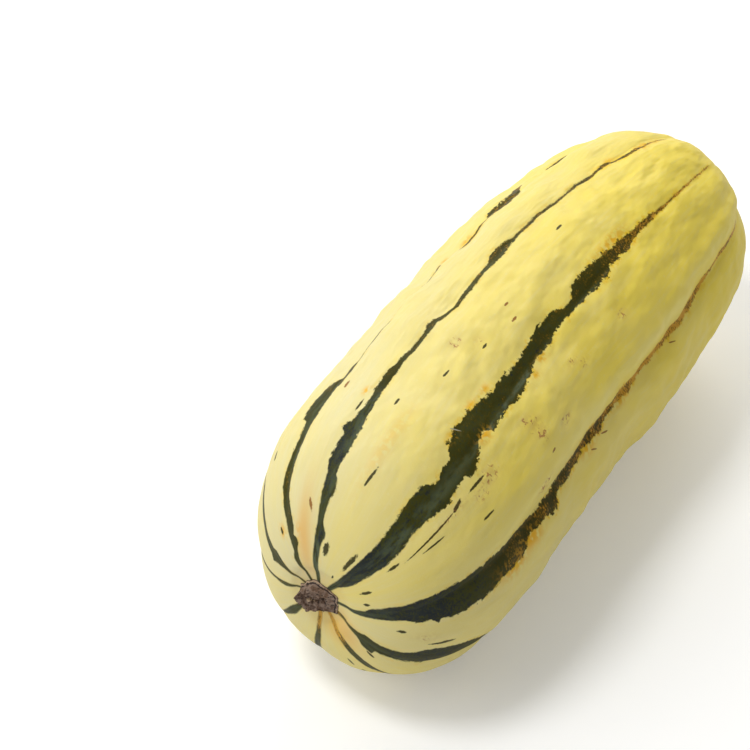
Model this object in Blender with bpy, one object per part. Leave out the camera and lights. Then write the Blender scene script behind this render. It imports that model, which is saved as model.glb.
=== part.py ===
"""A delicata squash lying on its side: the ribbed fruit and the short woody stub of its stem.

Metres, +Z up. The fruit's axis runs along X from the stem end (-X) to the blossom end (+X), and the
origin is the middle of the footprint, on the surface that the fruit rests on.
"""

import math

import bmesh
import bpy
import numpy as np
from mathutils import Matrix, Vector, noise

MM = 0.001
COLLECTION = "delicata_squash"

# Fruit, about its own axis. Lists run from the stem end to the blossom end at even stations, and
# angles are in degrees from the top towards +Y.
FRUIT_LENGTH = 200 * MM
STEM_END_FULLNESS = 3.2
BLOSSOM_END_FULLNESS = 2.7
RIB_CREST_RADII = [r * MM for r in (46.2, 46.3, 43.6, 41.8, 41.2, 41.8, 40.9, 42.8, 44.5)]
SIDE_BEND = [y * MM for y in (-5.8, -3.8, 0.1, 2.8, 3.7, 2.9)]
ARCH_RISE = 3.2 * MM
BLOSSOM_END_LIFT = 1.6 * MM
WIDTH_TO_HEIGHT = 0.945

# Ten furrows, each with its angle at four even stations and its depth at mid length
FURROW_ANGLES = [
    (-75.5, -74.5, -73.5, -68.0),
    (-35.0, -30.5, -28.5, -30.0),
    (10.5, 14.0, 9.5, 5.0),
    (41.5, 39.5, 34.5, 38.0),
    (73.0, 71.5, 71.0, 71.0),
    (97.5, 99.0, 100.0, 100.0),
    (135.5, 134.0, 133.0, 134.0),
    (170.0, 164.0, 163.0, 167.0),
    (212.0, 204.0, 200.0, 204.0),
    (240.0, 231.0, 229.0, 233.0),
]
FURROW_DEPTHS = [d * MM for d in (2.3, 1.5, 1.2, 1.2, 1.2, 1.3, 1.4, 1.4, 1.4, 1.7)]
RIB_ROUNDNESS = 0.72
SPLIT_RIB = 0
SPLIT_DEPTH = 1.1 * MM
SPLIT_HALF_WIDTH = 0.13
LUMP_HEIGHT = 0.9 * MM
LUMP_SPACING = 34 * MM

# Swelling of the flank beside the ninth rib, at even stations, and the fuller underside at the stem end
FLANK_SWELL = [w * MM for w in (0.0, 0.6, 0.9, 1.4, 0.4, 0.7, 1.2, 0.5, 0.0)]
FLANK_ANGLE = -121.0
FLANK_TIGHTNESS = 5.0
UNDERSIDE_FULLNESS = 0.18

# Underside, filled out where the fruit lay on the ground, with its small flat spot
BELLY_START_ANGLE = 128.0
BELLY_DROP = 1.5 * MM
BELLY_HALF_LENGTH = 42 * MM
BELLY_END_RISE = 2.0 * MM
REST_DEPTH = 42.1 * MM

# Seat of the stem: the pole lies a little off the axis, in a shallow flat-bottomed dimple
SEAT_SHIFT = (2.0 * MM, 1.5 * MM)
SEAT_SHIFT_REACH = 30 * MM
SEAT_RADIUS = 8.4 * MM
SEAT_RIM_RADIUS = 12 * MM
SEAT_DEPTH = 1.0 * MM

# Blossom scar: a raised corky button in a wider dimple
SCAR_RADIUS = 4.2 * MM
SCAR_HEIGHT = 0.9 * MM
SCAR_DIMPLE_RADIUS = 15 * MM
SCAR_DIMPLE_DEPTH = 1.6 * MM

# Stem stub: ridged, flared at its base and snapped off short and aslant
STUB_BASE_RADIUS = 6.2 * MM
STUB_END_RADIUS = 4.5 * MM
STUB_LEAN = Vector((-3.2, 1.2, -0.1)) * MM
STUB_BREAK = Vector((-1.0, -0.4, 0.0))
STUB_DROP = 0.5 * MM
STUB_HEIGHT_TO_WIDTH = 0.86
STUB_FLARE_POWER = 1.8
STUB_RIDGES = 5
STUB_RIDGE_HEIGHT = 0.06
STUB_FINE_RIDGE_HEIGHT = 0.035
STUB_END_HOLLOW = 0.6 * MM
STUB_RAGGED_HEIGHT = 0.8 * MM
GAP = 0.3 * MM

# Mesh density
SEGMENTS_PER_RIB = 8
FRUIT_RINGS = 48
RING_CROWDING = 0.62
STUB_SEGMENTS = 40
STUB_CUTS = 6
STUB_END_INSETS = 2
PROFILE_SAMPLES = 4001
WELD_DISTANCE = 0.05 * MM

# Colour and roughness of the two materials
RIND_COLOUR = (0.80, 0.66, 0.22, 1.0)
RIND_ROUGHNESS = 0.42
STUB_COLOUR = (0.17, 0.115, 0.09, 1.0)
STUB_ROUGHNESS = 0.85


def smooth_between(values, position):
    """Return a smooth curve through evenly spaced values, read at positions from 0 to 1."""
    values = np.asarray(values, dtype=float)
    first = 2 * values[0] - values[1]
    last = 2 * values[-1] - values[-2]
    padded = np.concatenate([[first], values, [last]])
    scaled = np.clip(position, 0.0, 1.0) * (len(values) - 1)
    index = np.minimum(scaled.astype(int), len(values) - 2)
    t = scaled - index
    before, start, end, after = (padded[index + k] for k in range(4))
    slope_in = 0.5 * (end - before)
    slope_out = 0.5 * (after - start)
    return (
        start * (2 * t**3 - 3 * t**2 + 1)
        + slope_in * (t**3 - 2 * t**2 + t)
        + end * (3 * t**2 - 2 * t**3)
        + slope_out * (t**3 - t**2)
    )


def smooth_step(low, high, value):
    """Return 0 below low, 1 above high and an S-curve between them."""
    t = np.clip((value - low) / (high - low), 0.0, 1.0)
    return t * t * (3 - 2 * t)


def profile(fractions):
    """Return the station (-1 to 1), end closure and rib radius at fractions of the profile's length."""
    turn = np.linspace(0.0, math.pi, PROFILE_SAMPLES)
    along = -np.cos(turn)
    power = 2 / np.where(along < 0, STEM_END_FULLNESS, BLOSSOM_END_FULLNESS)
    station = np.sign(along) * np.abs(along) ** power
    closure = np.abs(np.sin(turn)) ** power
    radius = closure * smooth_between(RIB_CREST_RADII, (station + 1) / 2)
    steps = np.hypot(np.diff(station) * FRUIT_LENGTH / 2, np.diff(radius))
    length = np.concatenate([[0.0], np.cumsum(steps)])
    length /= length[-1]
    return tuple(np.interp(fractions, length, curve) for curve in (station, closure, radius))


def furrow_fan(station):
    """Return the angle of every furrow at each station, with the first one repeated a turn on."""
    fan = [np.radians(smooth_between(angles, (station + 1) / 2)) for angles in FURROW_ANGLES]
    fan.append(fan[0] + 2 * math.pi)
    return np.array(fan)


def rib_relief(rib, across, station, closure):
    """Return how far the surface lies under the rib crests, from furrow to furrow."""
    depths = np.array(FURROW_DEPTHS + FURROW_DEPTHS[:1])
    depth = depths[rib] * (1 - across) + depths[rib + 1] * across
    crown = np.sin(math.pi * across) ** RIB_ROUNDNESS
    relief = depth * (1 - crown)
    split = np.exp(-(((across - 0.5) / SPLIT_HALF_WIDTH) ** 2)) * smooth_step(-0.2, 0.7, station)
    relief = relief + np.where(rib == SPLIT_RIB, SPLIT_DEPTH * split, 0.0)
    return relief * closure**0.8


def lump(x, angle):
    """Return the slow swelling of the surface at each place along and around the fruit."""
    reach = RIB_CREST_RADII[4] / LUMP_SPACING
    places = zip(x / LUMP_SPACING, reach * np.cos(angle), reach * np.sin(angle))
    return LUMP_HEIGHT * np.array([noise.noise(Vector(place)) for place in places])


def fruit_points(fractions, ribs, across):
    """Return the surface points about the fruit's axis, from profile fraction, rib and place across it."""
    station, closure, radius = profile(fractions)
    fan = furrow_fan(station)
    column = np.arange(len(station))
    angle = fan[ribs, column] * (1 - across) + fan[ribs + 1, column] * across
    x = station * FRUIT_LENGTH / 2
    beside_flank = np.exp(FLANK_TIGHTNESS * (np.cos(angle - math.radians(FLANK_ANGLE)) - 1))
    swell = smooth_between(FLANK_SWELL, (station + 1) / 2) * beside_flank
    radius = radius - rib_relief(ribs, across, station, closure) + (lump(x, angle) + swell) * closure
    under = smooth_step(-0.2, 0.9, -np.cos(angle)) * (station < 0)
    radius = radius * np.maximum(closure, 1e-9) ** (-UNDERSIDE_FULLNESS * under)
    y = radius * np.sin(angle) * WIDTH_TO_HEIGHT + smooth_between(SIDE_BEND, (station + 1) / 2)
    z = radius * np.cos(angle)

    arch = ARCH_RISE * (1 - station**2) + BLOSSOM_END_LIFT * smooth_step(0.2, 1.0, station)
    belly = smooth_step(-math.cos(math.radians(BELLY_START_ANGLE)), 1.0, -np.cos(angle)) * closure
    drop = BELLY_DROP * np.exp(-((x / BELLY_HALF_LENGTH) ** 2)) - BELLY_END_RISE * station**2
    z = z + arch * (1 - belly) - drop * belly

    seat_pull = (1 - smooth_step(0.0, SEAT_SHIFT_REACH, radius)) * (station < 0)
    y = y + SEAT_SHIFT[0] * seat_pull
    z = z + SEAT_SHIFT[1] * seat_pull
    seat = (1 - smooth_step(SEAT_RADIUS, SEAT_RIM_RADIUS, radius)) * (station < 0)
    x = x + (SEAT_DEPTH + (-FRUIT_LENGTH / 2 - x)) * seat
    scar_dimple = SCAR_DIMPLE_DEPTH * (1 - smooth_step(0.0, SCAR_DIMPLE_RADIUS, radius))
    scar = SCAR_HEIGHT * (1 - smooth_step(0.6 * SCAR_RADIUS, SCAR_RADIUS, radius))
    x = x - (scar_dimple - scar) * (station > 0)
    return np.stack([x, y, z], axis=1)


def build_fruit():
    """Return a bmesh of the fruit: a sphere drawn out to the squash's form, with its flat spot cut."""
    segments = SEGMENTS_PER_RIB * len(FURROW_ANGLES)
    mesh = bmesh.new()
    bmesh.ops.create_uvsphere(mesh, u_segments=segments, v_segments=FRUIT_RINGS, radius=1.0)
    corners = np.array([vertex.co for vertex in mesh.verts])
    ring = np.arccos(np.clip(corners[:, 2], -1, 1)) / math.pi
    fractions = ring - RING_CROWDING * np.sin(2 * math.pi * ring) / (2 * math.pi)
    turn = np.rint(np.arctan2(corners[:, 1], corners[:, 0]) / (2 * math.pi) * segments).astype(int)
    turn %= segments
    ribs = turn // SEGMENTS_PER_RIB
    across = (turn % SEGMENTS_PER_RIB) / SEGMENTS_PER_RIB
    for vertex, point in zip(mesh.verts, fruit_points(fractions, ribs, across)):
        vertex.co = point

    everything = mesh.verts[:] + mesh.edges[:] + mesh.faces[:]
    bmesh.ops.bisect_plane(
        mesh, geom=everything, plane_co=(0, 0, -REST_DEPTH), plane_no=(0, 0, -1), clear_outer=True)
    bmesh.ops.remove_doubles(mesh, verts=mesh.verts[:], dist=WELD_DISTANCE)
    rim = [edge for edge in mesh.edges if edge.is_boundary]
    for edge in rim:
        for vertex in edge.verts:
            vertex.co.z = -REST_DEPTH
    bmesh.ops.edgeloop_fill(mesh, edges=rim)
    bmesh.ops.recalc_face_normals(mesh, faces=mesh.faces[:])
    return mesh


def stub_frame(height, seat):
    """Return the centre, facing and two cross directions of the stub's section at a height from 0 to 1."""
    lean_now = Vector((STUB_LEAN.x * height, STUB_LEAN.y * height**1.5, STUB_LEAN.z * height**1.5))
    facing = Vector((-1, 0, 0)).lerp(STUB_BREAK.normalized(), height).normalized()
    side = facing.cross(Vector((0, 0, 1))).normalized()
    up = facing.cross(side)
    return seat + lean_now, facing, side, up


def build_stub(seat):
    """Return a bmesh of the stem stub: a cone drawn into ridges, flared below and snapped off at its end."""
    mesh = bmesh.new()
    bmesh.ops.create_cone(
        mesh, cap_ends=True, cap_tris=False, segments=STUB_SEGMENTS, radius1=1.0, radius2=1.0, depth=1.0)
    sides = [edge for edge in mesh.edges if abs(edge.verts[0].co.z - edge.verts[1].co.z) > 0.5]
    bmesh.ops.subdivide_edges(mesh, edges=sides, cuts=STUB_CUTS, use_grid_fill=True)
    for _ in range(STUB_END_INSETS):
        end = max(mesh.faces, key=lambda face: face.calc_center_median().z * 10 + len(face.verts))
        bmesh.ops.inset_individual(mesh, faces=[end], thickness=0.3, use_even_offset=False)
    end = max(mesh.faces, key=lambda face: face.calc_center_median().z * 10 + len(face.verts))
    bmesh.ops.poke(mesh, faces=[end])

    for vertex in mesh.verts:
        height = vertex.co.z + 0.5
        spread = math.hypot(vertex.co.x, vertex.co.y)
        turn = math.atan2(vertex.co.y, vertex.co.x)
        centre, facing, side, up = stub_frame(height, seat)
        radius = STUB_END_RADIUS + (STUB_BASE_RADIUS - STUB_END_RADIUS) * (1 - height) ** STUB_FLARE_POWER
        ridges = STUB_RIDGE_HEIGHT * math.cos(STUB_RIDGES * turn)
        ridges += STUB_FINE_RIDGE_HEIGHT * math.cos(2 * STUB_RIDGES * turn + 0.8)
        reach = radius * spread * (1 + ridges)
        place = centre + reach * (math.cos(turn) * side + STUB_HEIGHT_TO_WIDTH * math.sin(turn) * up)
        if height > 0.99:
            ragged = noise.noise(Vector((2.2 * math.cos(turn), 2.2 * math.sin(turn), 3 * spread)))
            hollow = STUB_END_HOLLOW * max(0.0, 1 - spread) ** 0.7
            place += facing * (STUB_RAGGED_HEIGHT * ragged - hollow)
        vertex.co = place
    bmesh.ops.recalc_face_normals(mesh, faces=mesh.faces[:])
    return mesh


def make_material(name, colour, roughness):
    """Return a plain Principled material."""
    material = bpy.data.materials.new(name)
    material.use_nodes = True
    shader = material.node_tree.nodes["Principled BSDF"]
    shader.inputs["Base Color"].default_value = colour
    shader.inputs["Roughness"].default_value = roughness
    shader.inputs["Metallic"].default_value = 0.0
    return material


def add_object(name, mesh, material, collection, parent):
    """Write the bmesh into a new smooth-shaded object of the collection, under its parent, and return it."""
    data = bpy.data.meshes.new(name)
    mesh.to_mesh(data)
    mesh.free()
    data.materials.append(material)
    data.shade_smooth()
    data.set_sharp_from_angle(angle=math.radians(35))
    part = bpy.data.objects.new(name, data)
    part.parent = parent
    collection.objects.link(part)
    return part


def main():
    """Clear the scene and build the squash, standing on the origin's plane."""
    for old in list(bpy.data.objects):
        bpy.data.objects.remove(old, do_unlink=True)
    collection = bpy.data.collections.new(COLLECTION)
    bpy.context.scene.collection.children.link(collection)
    axis_frame = bpy.data.objects.new("fruit_axis", None)
    collection.objects.link(axis_frame)

    fruit_mesh = build_fruit()
    corners = np.array([vertex.co for vertex in fruit_mesh.verts])
    seat = Vector(fruit_points(np.zeros(1), np.zeros(1, dtype=int), np.zeros(1))[0])
    stub_mesh = build_stub(seat + Vector((-GAP, 0, -STUB_DROP)))
    corners = np.vstack([corners, [vertex.co for vertex in stub_mesh.verts]])
    middle = (corners.min(axis=0) + corners.max(axis=0)) / 2
    to_rest = Matrix.Translation((-middle[0], -middle[1], REST_DEPTH))
    fruit_mesh.transform(to_rest)
    stub_mesh.transform(to_rest)

    rind = make_material("rind", RIND_COLOUR, RIND_ROUGHNESS)
    wood = make_material("dry_stem", STUB_COLOUR, STUB_ROUGHNESS)
    add_object("fruit", fruit_mesh, rind, collection, axis_frame)
    add_object("stem_stub", stub_mesh, wood, collection, axis_frame)
    bpy.context.view_layer.update()


if __name__ == "__main__":
    main()
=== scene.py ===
"""Looks of a delicata squash lying on its side: its striped rind and its snapped-off stem stub.

Metres, +Z up. The rind and the stub repeat the formulas of the solid fruit and stub at a finer
density, with relief added, and are then fitted to the boxes of those solids.
"""

import functools
import logging
import math
import random
from dataclasses import dataclass, field
from enum import Enum

import bpy
import numpy as np
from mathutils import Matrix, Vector, noise


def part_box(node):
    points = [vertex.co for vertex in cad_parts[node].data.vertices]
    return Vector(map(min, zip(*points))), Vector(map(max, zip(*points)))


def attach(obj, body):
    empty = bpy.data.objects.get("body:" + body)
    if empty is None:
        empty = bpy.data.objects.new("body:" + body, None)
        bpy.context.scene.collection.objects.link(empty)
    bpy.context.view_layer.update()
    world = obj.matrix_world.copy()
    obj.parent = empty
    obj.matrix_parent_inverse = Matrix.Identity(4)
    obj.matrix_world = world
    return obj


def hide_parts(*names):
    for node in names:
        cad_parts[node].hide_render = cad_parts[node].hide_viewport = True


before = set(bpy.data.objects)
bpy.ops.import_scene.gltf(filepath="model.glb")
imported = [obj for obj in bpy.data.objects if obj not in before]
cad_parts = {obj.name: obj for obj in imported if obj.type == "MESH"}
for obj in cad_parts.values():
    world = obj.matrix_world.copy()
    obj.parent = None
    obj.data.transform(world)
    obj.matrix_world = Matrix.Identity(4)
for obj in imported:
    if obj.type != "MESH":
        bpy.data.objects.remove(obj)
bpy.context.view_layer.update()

MM = 0.001
DEGREE = math.radians(1.0)
FLECK_LAYERS = ("fleck_one", "fleck_two")
LOG = logging.getLogger("delicata_squash")

Socket = bpy.types.NodeSocket
Value = float | tuple[float, ...] | Socket
Colour = tuple[float, float, float]
Steps = tuple[tuple[float, float], ...]


def smooth_between(values: list[float], position: np.ndarray) -> np.ndarray:
    """Read a smooth curve through evenly spaced values.

    Args:
        values: the values, at even places from 0 to 1.
        position: where the curve is read, from 0 to 1.

    Returns:
        The curve's value at each position.
    """
    knots = np.asarray(values, dtype=float)
    padded = np.concatenate([[2 * knots[0] - knots[1]], knots, [2 * knots[-1] - knots[-2]]])
    scaled = np.clip(position, 0.0, 1.0) * (len(knots) - 1)
    index = np.minimum(scaled.astype(int), len(knots) - 2)
    t = scaled - index
    before, start, end, after = (padded[index + k] for k in range(4))
    return (
        start * (2 * t**3 - 3 * t**2 + 1)
        + 0.5 * (end - before) * (t**3 - 2 * t**2 + t)
        + end * (3 * t**2 - 2 * t**3)
        + 0.5 * (after - start) * (t**3 - t**2)
    )


def smooth_step(low: float, high: float, value: np.ndarray) -> np.ndarray:
    """Return 0 below low, 1 above high and an S-curve between them."""
    t = np.clip((value - low) / (high - low), 0.0, 1.0)
    return t * t * (3 - 2 * t)


def smooth_fall(low: float, high: float, value: np.ndarray) -> np.ndarray:
    """Return 1 below low, 0 above high and an S-curve between them."""
    return 1 - smooth_step(low, high, value)


def read_steps(steps: Steps, fractions: np.ndarray) -> np.ndarray:
    """Read a list of (place, value) steps, with straight runs between them.

    Args:
        steps: the places and their values; an empty list is 0 everywhere.
        fractions: where the list is read.

    Returns:
        The value at each fraction.
    """
    if not steps:
        return np.zeros_like(fractions)
    return np.interp(fractions, [s[0] for s in steps], [s[1] for s in steps])


def hump(offset: np.ndarray | float, spread: float) -> np.ndarray:
    """Return a soft hump, 1 where the offset is 0 and falling away over the spread."""
    return np.exp(-((offset / spread) ** 2))


def turn_gap(target: np.ndarray | float, angle: np.ndarray) -> np.ndarray:
    """Return target minus angle in degrees, the short way round."""
    return (target - angle + 180.0) % 360.0 - 180.0


def noise_at(points: np.ndarray) -> np.ndarray:
    """Return smooth noise from -1 to 1 at each of the points."""
    return np.array([noise.noise(Vector(point)) for point in points])


@dataclass(frozen=True)
class Bumps:
    """One layer of uneven surface: its height, its spacing around and how far it is drawn out along."""

    height: float
    spacing: float
    stretch: float = 1.0
    offset: float = 0.0

    def rise(self, along: np.ndarray, around: np.ndarray) -> np.ndarray:
        """Return the layer's height at places given along and around the fruit, in metres."""
        run = along / (self.spacing * self.stretch) + self.offset
        return self.height * noise_at(np.column_stack([run, around / self.spacing]))


@dataclass(frozen=True)
class SquashForm:
    """The squash's form: a ribbed, slightly bent fruit drawn out from pole to pole along X.

    Lists run from the stem end to the blossom end at even stations, apart from the furrow depths,
    which follow the furrows. The radii, bends, swells and depths in lists are in millimetres, and
    other sizes in metres. Angles are in degrees from the top towards +Y, about the fruit's own axis.
    """

    length: float = 200 * MM
    stem_end_fullness: float = 3.2
    blossom_end_fullness: float = 2.7
    rib_crest_radii: tuple[float, ...] = (46.2, 46.3, 43.6, 41.8, 41.2, 41.8, 40.9, 42.8, 44.5)
    side_bend: tuple[float, ...] = (-5.8, -3.8, 0.1, 2.8, 3.7, 2.9)
    arch_rise: float = 3.2 * MM
    blossom_end_lift: float = 1.6 * MM
    lift_reach: tuple[float, float] = (0.2, 1.0)
    width_to_height: float = 0.945
    furrow_angles: tuple[tuple[float, ...], ...] = (
        (-75.5, -74.5, -73.5, -68.0),
        (-35.0, -30.5, -28.5, -30.0),
        (10.5, 14.0, 9.5, 5.0),
        (41.5, 39.5, 34.5, 38.0),
        (73.0, 71.5, 71.0, 71.0),
        (97.5, 99.0, 100.0, 100.0),
        (135.5, 134.0, 133.0, 134.0),
        (170.0, 164.0, 163.0, 167.0),
        (212.0, 204.0, 200.0, 204.0),
        (240.0, 231.0, 229.0, 233.0),
    )
    furrow_depths: tuple[float, ...] = (2.3, 1.5, 1.2, 1.2, 1.2, 1.3, 1.4, 1.4, 1.4, 1.7)
    rib_roundness: float = 0.72
    split_rib: int = 0
    split_depth: float = 1.1 * MM
    split_half_width: float = 0.13
    split_reach: tuple[float, float] = (-0.2, 0.7)
    relief_closing: float = 0.8
    lumps: Bumps = Bumps(0.9 * MM, 34 * MM)
    ripples: Bumps = Bumps(0.95 * MM, 8.5 * MM, stretch=1.35, offset=7.3)
    dimples: Bumps = Bumps(0.42 * MM, 4.6 * MM, offset=3.1)
    flank_swell: tuple[float, ...] = (0.0, 0.6, 0.9, 1.4, 0.4, 0.7, 1.2, 0.5, 0.0)
    flank_angle: float = -121.0
    flank_tightness: float = 5.0
    underside_fullness: float = 0.18
    underside_reach: tuple[float, float] = (-0.2, 0.9)
    smooth_neck: float = 0.35
    neck_reach: tuple[float, float] = (-0.45, -0.1)
    belly_start_angle: float = 128.0
    belly_drop: float = 1.5 * MM
    belly_half_length: float = 42 * MM
    belly_end_rise: float = 2.0 * MM
    rest_depth: float = 42.1 * MM
    seat_shift: tuple[float, float] = (2.0 * MM, 1.5 * MM)
    seat_shift_reach: float = 30 * MM
    seat_radius: float = 8.4 * MM
    seat_rim_radius: float = 12 * MM
    seat_depth: float = 1.0 * MM
    scar_radius: float = 4.2 * MM
    scar_flat_share: float = 0.6
    scar_height: float = 0.9 * MM
    scar_dimple_radius: float = 15 * MM
    scar_dimple_depth: float = 1.6 * MM
    profile_samples: int = 4001

    @property
    def waist_radius(self) -> float:
        """Return the rib crest radius at mid length."""
        return self.rib_crest_radii[len(self.rib_crest_radii) // 2] * MM

    def profile(self, fractions: np.ndarray) -> tuple[np.ndarray, ...]:
        """Read the long profile of a rib crest.

        Args:
            fractions: places along the profile's length, 0 at the stem's pole and 1 at the other.

        Returns:
            The station (-1 to 1), the end closure (0 to 1), the radius and the length run so far.
        """
        turn = np.linspace(0.0, math.pi, self.profile_samples)
        along = -np.cos(turn)
        power = 2 / np.where(along < 0, self.stem_end_fullness, self.blossom_end_fullness)
        station = np.sign(along) * np.abs(along) ** power
        closure = np.abs(np.sin(turn)) ** power
        radius = closure * smooth_between(self.rib_crest_radii, (station + 1) / 2) * MM
        steps = np.hypot(np.diff(station) * self.length / 2, np.diff(radius))
        run = np.concatenate([[0.0], np.cumsum(steps)])
        curves = (station, closure, radius, run)
        return tuple(np.interp(fractions, run / run[-1], curve) for curve in curves)

    def furrow_fan(self, station: np.ndarray) -> np.ndarray:
        """Work out every furrow's angle.

        Args:
            station: places along the fruit, from -1 to 1.

        Returns:
            A row of degrees for each furrow, with the first repeated a turn on.
        """
        fan = [smooth_between(angles, (station + 1) / 2) for angles in self.furrow_angles]
        fan.append(fan[0] + 360.0)
        return np.array(fan)

    def angle(self, fractions: np.ndarray, ribs: np.ndarray, across: np.ndarray) -> np.ndarray:
        """Work out the angle of places on the surface.

        Args:
            fractions: place along the profile, from 0 to 1.
            ribs: number of the rib that each place is on.
            across: place across that rib, from 0 to 1.

        Returns:
            The angles in degrees.
        """
        fan = self.furrow_fan(self.profile(fractions)[0])
        column = np.arange(len(fractions))
        return fan[ribs, column] * (1 - across) + fan[ribs + 1, column] * across

    def rib_relief(
        self, ribs: np.ndarray, across: np.ndarray, station: np.ndarray, closure: np.ndarray
    ) -> np.ndarray:
        """Work out how far the surface lies under the rib crests, from furrow to furrow.

        Args:
            ribs: number of the rib that each place is on.
            across: place across that rib, from 0 to 1.
            station: place along the fruit, from -1 to 1.
            closure: how open the form is there, from 0 at a pole to 1.

        Returns:
            The depths in metres.
        """
        depths = np.array(self.furrow_depths + self.furrow_depths[:1]) * MM
        depth = depths[ribs] * (1 - across) + depths[ribs + 1] * across
        crown = np.sin(math.pi * across) ** self.rib_roundness
        relief = depth * (1 - crown)
        split = hump(across - 0.5, self.split_half_width) * smooth_step(*self.split_reach, station)
        relief = relief + np.where(ribs == self.split_rib, self.split_depth * split, 0.0)
        return relief * closure**self.relief_closing

    def relief(self, x: np.ndarray, angle: np.ndarray) -> np.ndarray:
        """Work out the slow lumps, the ripples along the ribs and the small dimples of the surface.

        Args:
            x: place along the fruit, in metres.
            angle: angle of each place in radians.

        Returns:
            The heights in metres.
        """
        around = np.stack([np.cos(angle), np.sin(angle)], axis=1) * self.waist_radius
        pebbles = self.ripples.rise(x, around) + self.dimples.rise(x, around)
        beyond_neck = smooth_step(*self.neck_reach, x / self.length)
        pebbles = pebbles * (self.smooth_neck + (1 - self.smooth_neck) * beyond_neck)
        return self.lumps.rise(x, around) + pebbles

    def points(self, fractions: np.ndarray, ribs: np.ndarray, across: np.ndarray) -> np.ndarray:
        """Work out surface points about the fruit's own axis.

        Args:
            fractions: place along the profile, from 0 to 1.
            ribs: number of the rib that each place is on.
            across: place across that rib, from 0 to 1.

        Returns:
            The points, one row each.
        """
        station, closure, radius, _ = self.profile(fractions)
        angle = np.radians(self.angle(fractions, ribs, across))
        x = station * self.length / 2
        from_flank = angle - math.radians(self.flank_angle)
        beside_flank = np.exp(self.flank_tightness * (np.cos(from_flank) - 1))
        swell = smooth_between(self.flank_swell, (station + 1) / 2) * MM * beside_flank
        radius = radius - self.rib_relief(ribs, across, station, closure)
        radius = radius + (self.relief(x, angle) + swell) * closure
        under = smooth_step(*self.underside_reach, -np.cos(angle)) * (station < 0)
        radius = radius * np.maximum(closure, 1e-9) ** (-self.underside_fullness * under)
        bend = smooth_between(self.side_bend, (station + 1) / 2) * MM
        y = radius * np.sin(angle) * self.width_to_height + bend
        z = radius * np.cos(angle)

        arch = self.arch_rise * (1 - station**2)
        arch = arch + self.blossom_end_lift * smooth_step(*self.lift_reach, station)
        belly_start = -math.cos(math.radians(self.belly_start_angle))
        belly = smooth_step(belly_start, 1.0, -np.cos(angle)) * closure
        drop = self.belly_drop * hump(x, self.belly_half_length) - self.belly_end_rise * station**2
        z = z + arch * (1 - belly) - drop * belly

        seat_pull = smooth_fall(0.0, self.seat_shift_reach, radius) * (station < 0)
        y = y + self.seat_shift[0] * seat_pull
        z = z + self.seat_shift[1] * seat_pull
        seat = smooth_fall(self.seat_radius, self.seat_rim_radius, radius) * (station < 0)
        x = x + (self.seat_depth + (-self.length / 2 - x)) * seat
        scar_dimple = self.scar_dimple_depth * smooth_fall(0.0, self.scar_dimple_radius, radius)
        scar_flat = self.scar_flat_share * self.scar_radius
        scar = self.scar_height * smooth_fall(scar_flat, self.scar_radius, radius)
        x = x - (scar_dimple - scar) * (station > 0)
        return np.stack([x, y, z], axis=1)


def settle_in_box(
    points: np.ndarray, low: Vector, high: Vector, axes: tuple[int, ...], knee: float
) -> None:
    """Press points that stand out of a box softly back into it, in place.

    Args:
        points: the points, one row each.
        low: the box's lowest corner.
        high: the box's highest corner.
        axes: the axes along which the points are pressed.
        knee: depth under the box's faces where the pressing starts.
    """
    for axis in axes:
        middle, half = (low[axis] + high[axis]) / 2, (high[axis] - low[axis]) / 2 - knee
        off = points[:, axis] - middle
        over = np.maximum(np.abs(off) - half, 0.0)
        pressed = np.minimum(np.abs(off), half) + knee * np.tanh(over / knee)
        points[:, axis] = middle + np.sign(off) * pressed


def fit_to_box(points: np.ndarray, low: Vector, high: Vector, axes: tuple[int, ...]) -> None:
    """Stretch the points very slightly, in place, so that they fill a box.

    Args:
        points: the points, one row each.
        low: the box's lowest corner.
        high: the box's highest corner.
        axes: the axes along which the points are stretched.
    """
    for axis in axes:
        lowest, highest = points[:, axis].min(), points[:, axis].max()
        scale = (high[axis] - low[axis]) / (highest - lowest)
        points[:, axis] = low[axis] + (points[:, axis] - lowest) * scale


@dataclass(frozen=True)
class Stripe:
    """One dark stripe along a furrow, with uneven edges.

    Places run from 0 at the stem's pole to 1 at the blossom's. Each row of edges is a place with the
    angles in degrees of the upper and the lower edge, and edges that cross close the stripe. Ages run
    from 0, blue-black, through olive to 1, orange-brown.
    """

    edges: tuple[tuple[float, float, float], ...]
    ages: Steps
    # Strength along the stripe of a painted grey highlight that lies along its furrow.
    bloom: Steps = ()
    halo: Steps = ()
    stem_place: float = 0.013
    stem_half_width: float = 6.5
    blossom_run: float = 0.03
    blossom_closing: float = 0.9

    def edges_at(self, fractions: np.ndarray) -> tuple[np.ndarray, np.ndarray]:
        """Read the stripe's edges, run in under the stub and closed at the blossom end.

        Args:
            fractions: places along the profile, from 0 to 1.

        Returns:
            The angles in degrees of the upper edge and of the lower one.
        """
        first, last = self.edges[0], self.edges[-1]
        start, end = (first[1] + first[2]) / 2, (last[1] + last[2]) / 2
        half, closing = self.stem_half_width, self.blossom_closing
        places, upper, lower = zip(
            (self.stem_place, start + half, start - half),
            *self.edges,
            (last[0] + self.blossom_run, end - closing, end + closing),
        )
        return np.interp(fractions, places, upper), np.interp(fractions, places, lower)


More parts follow.
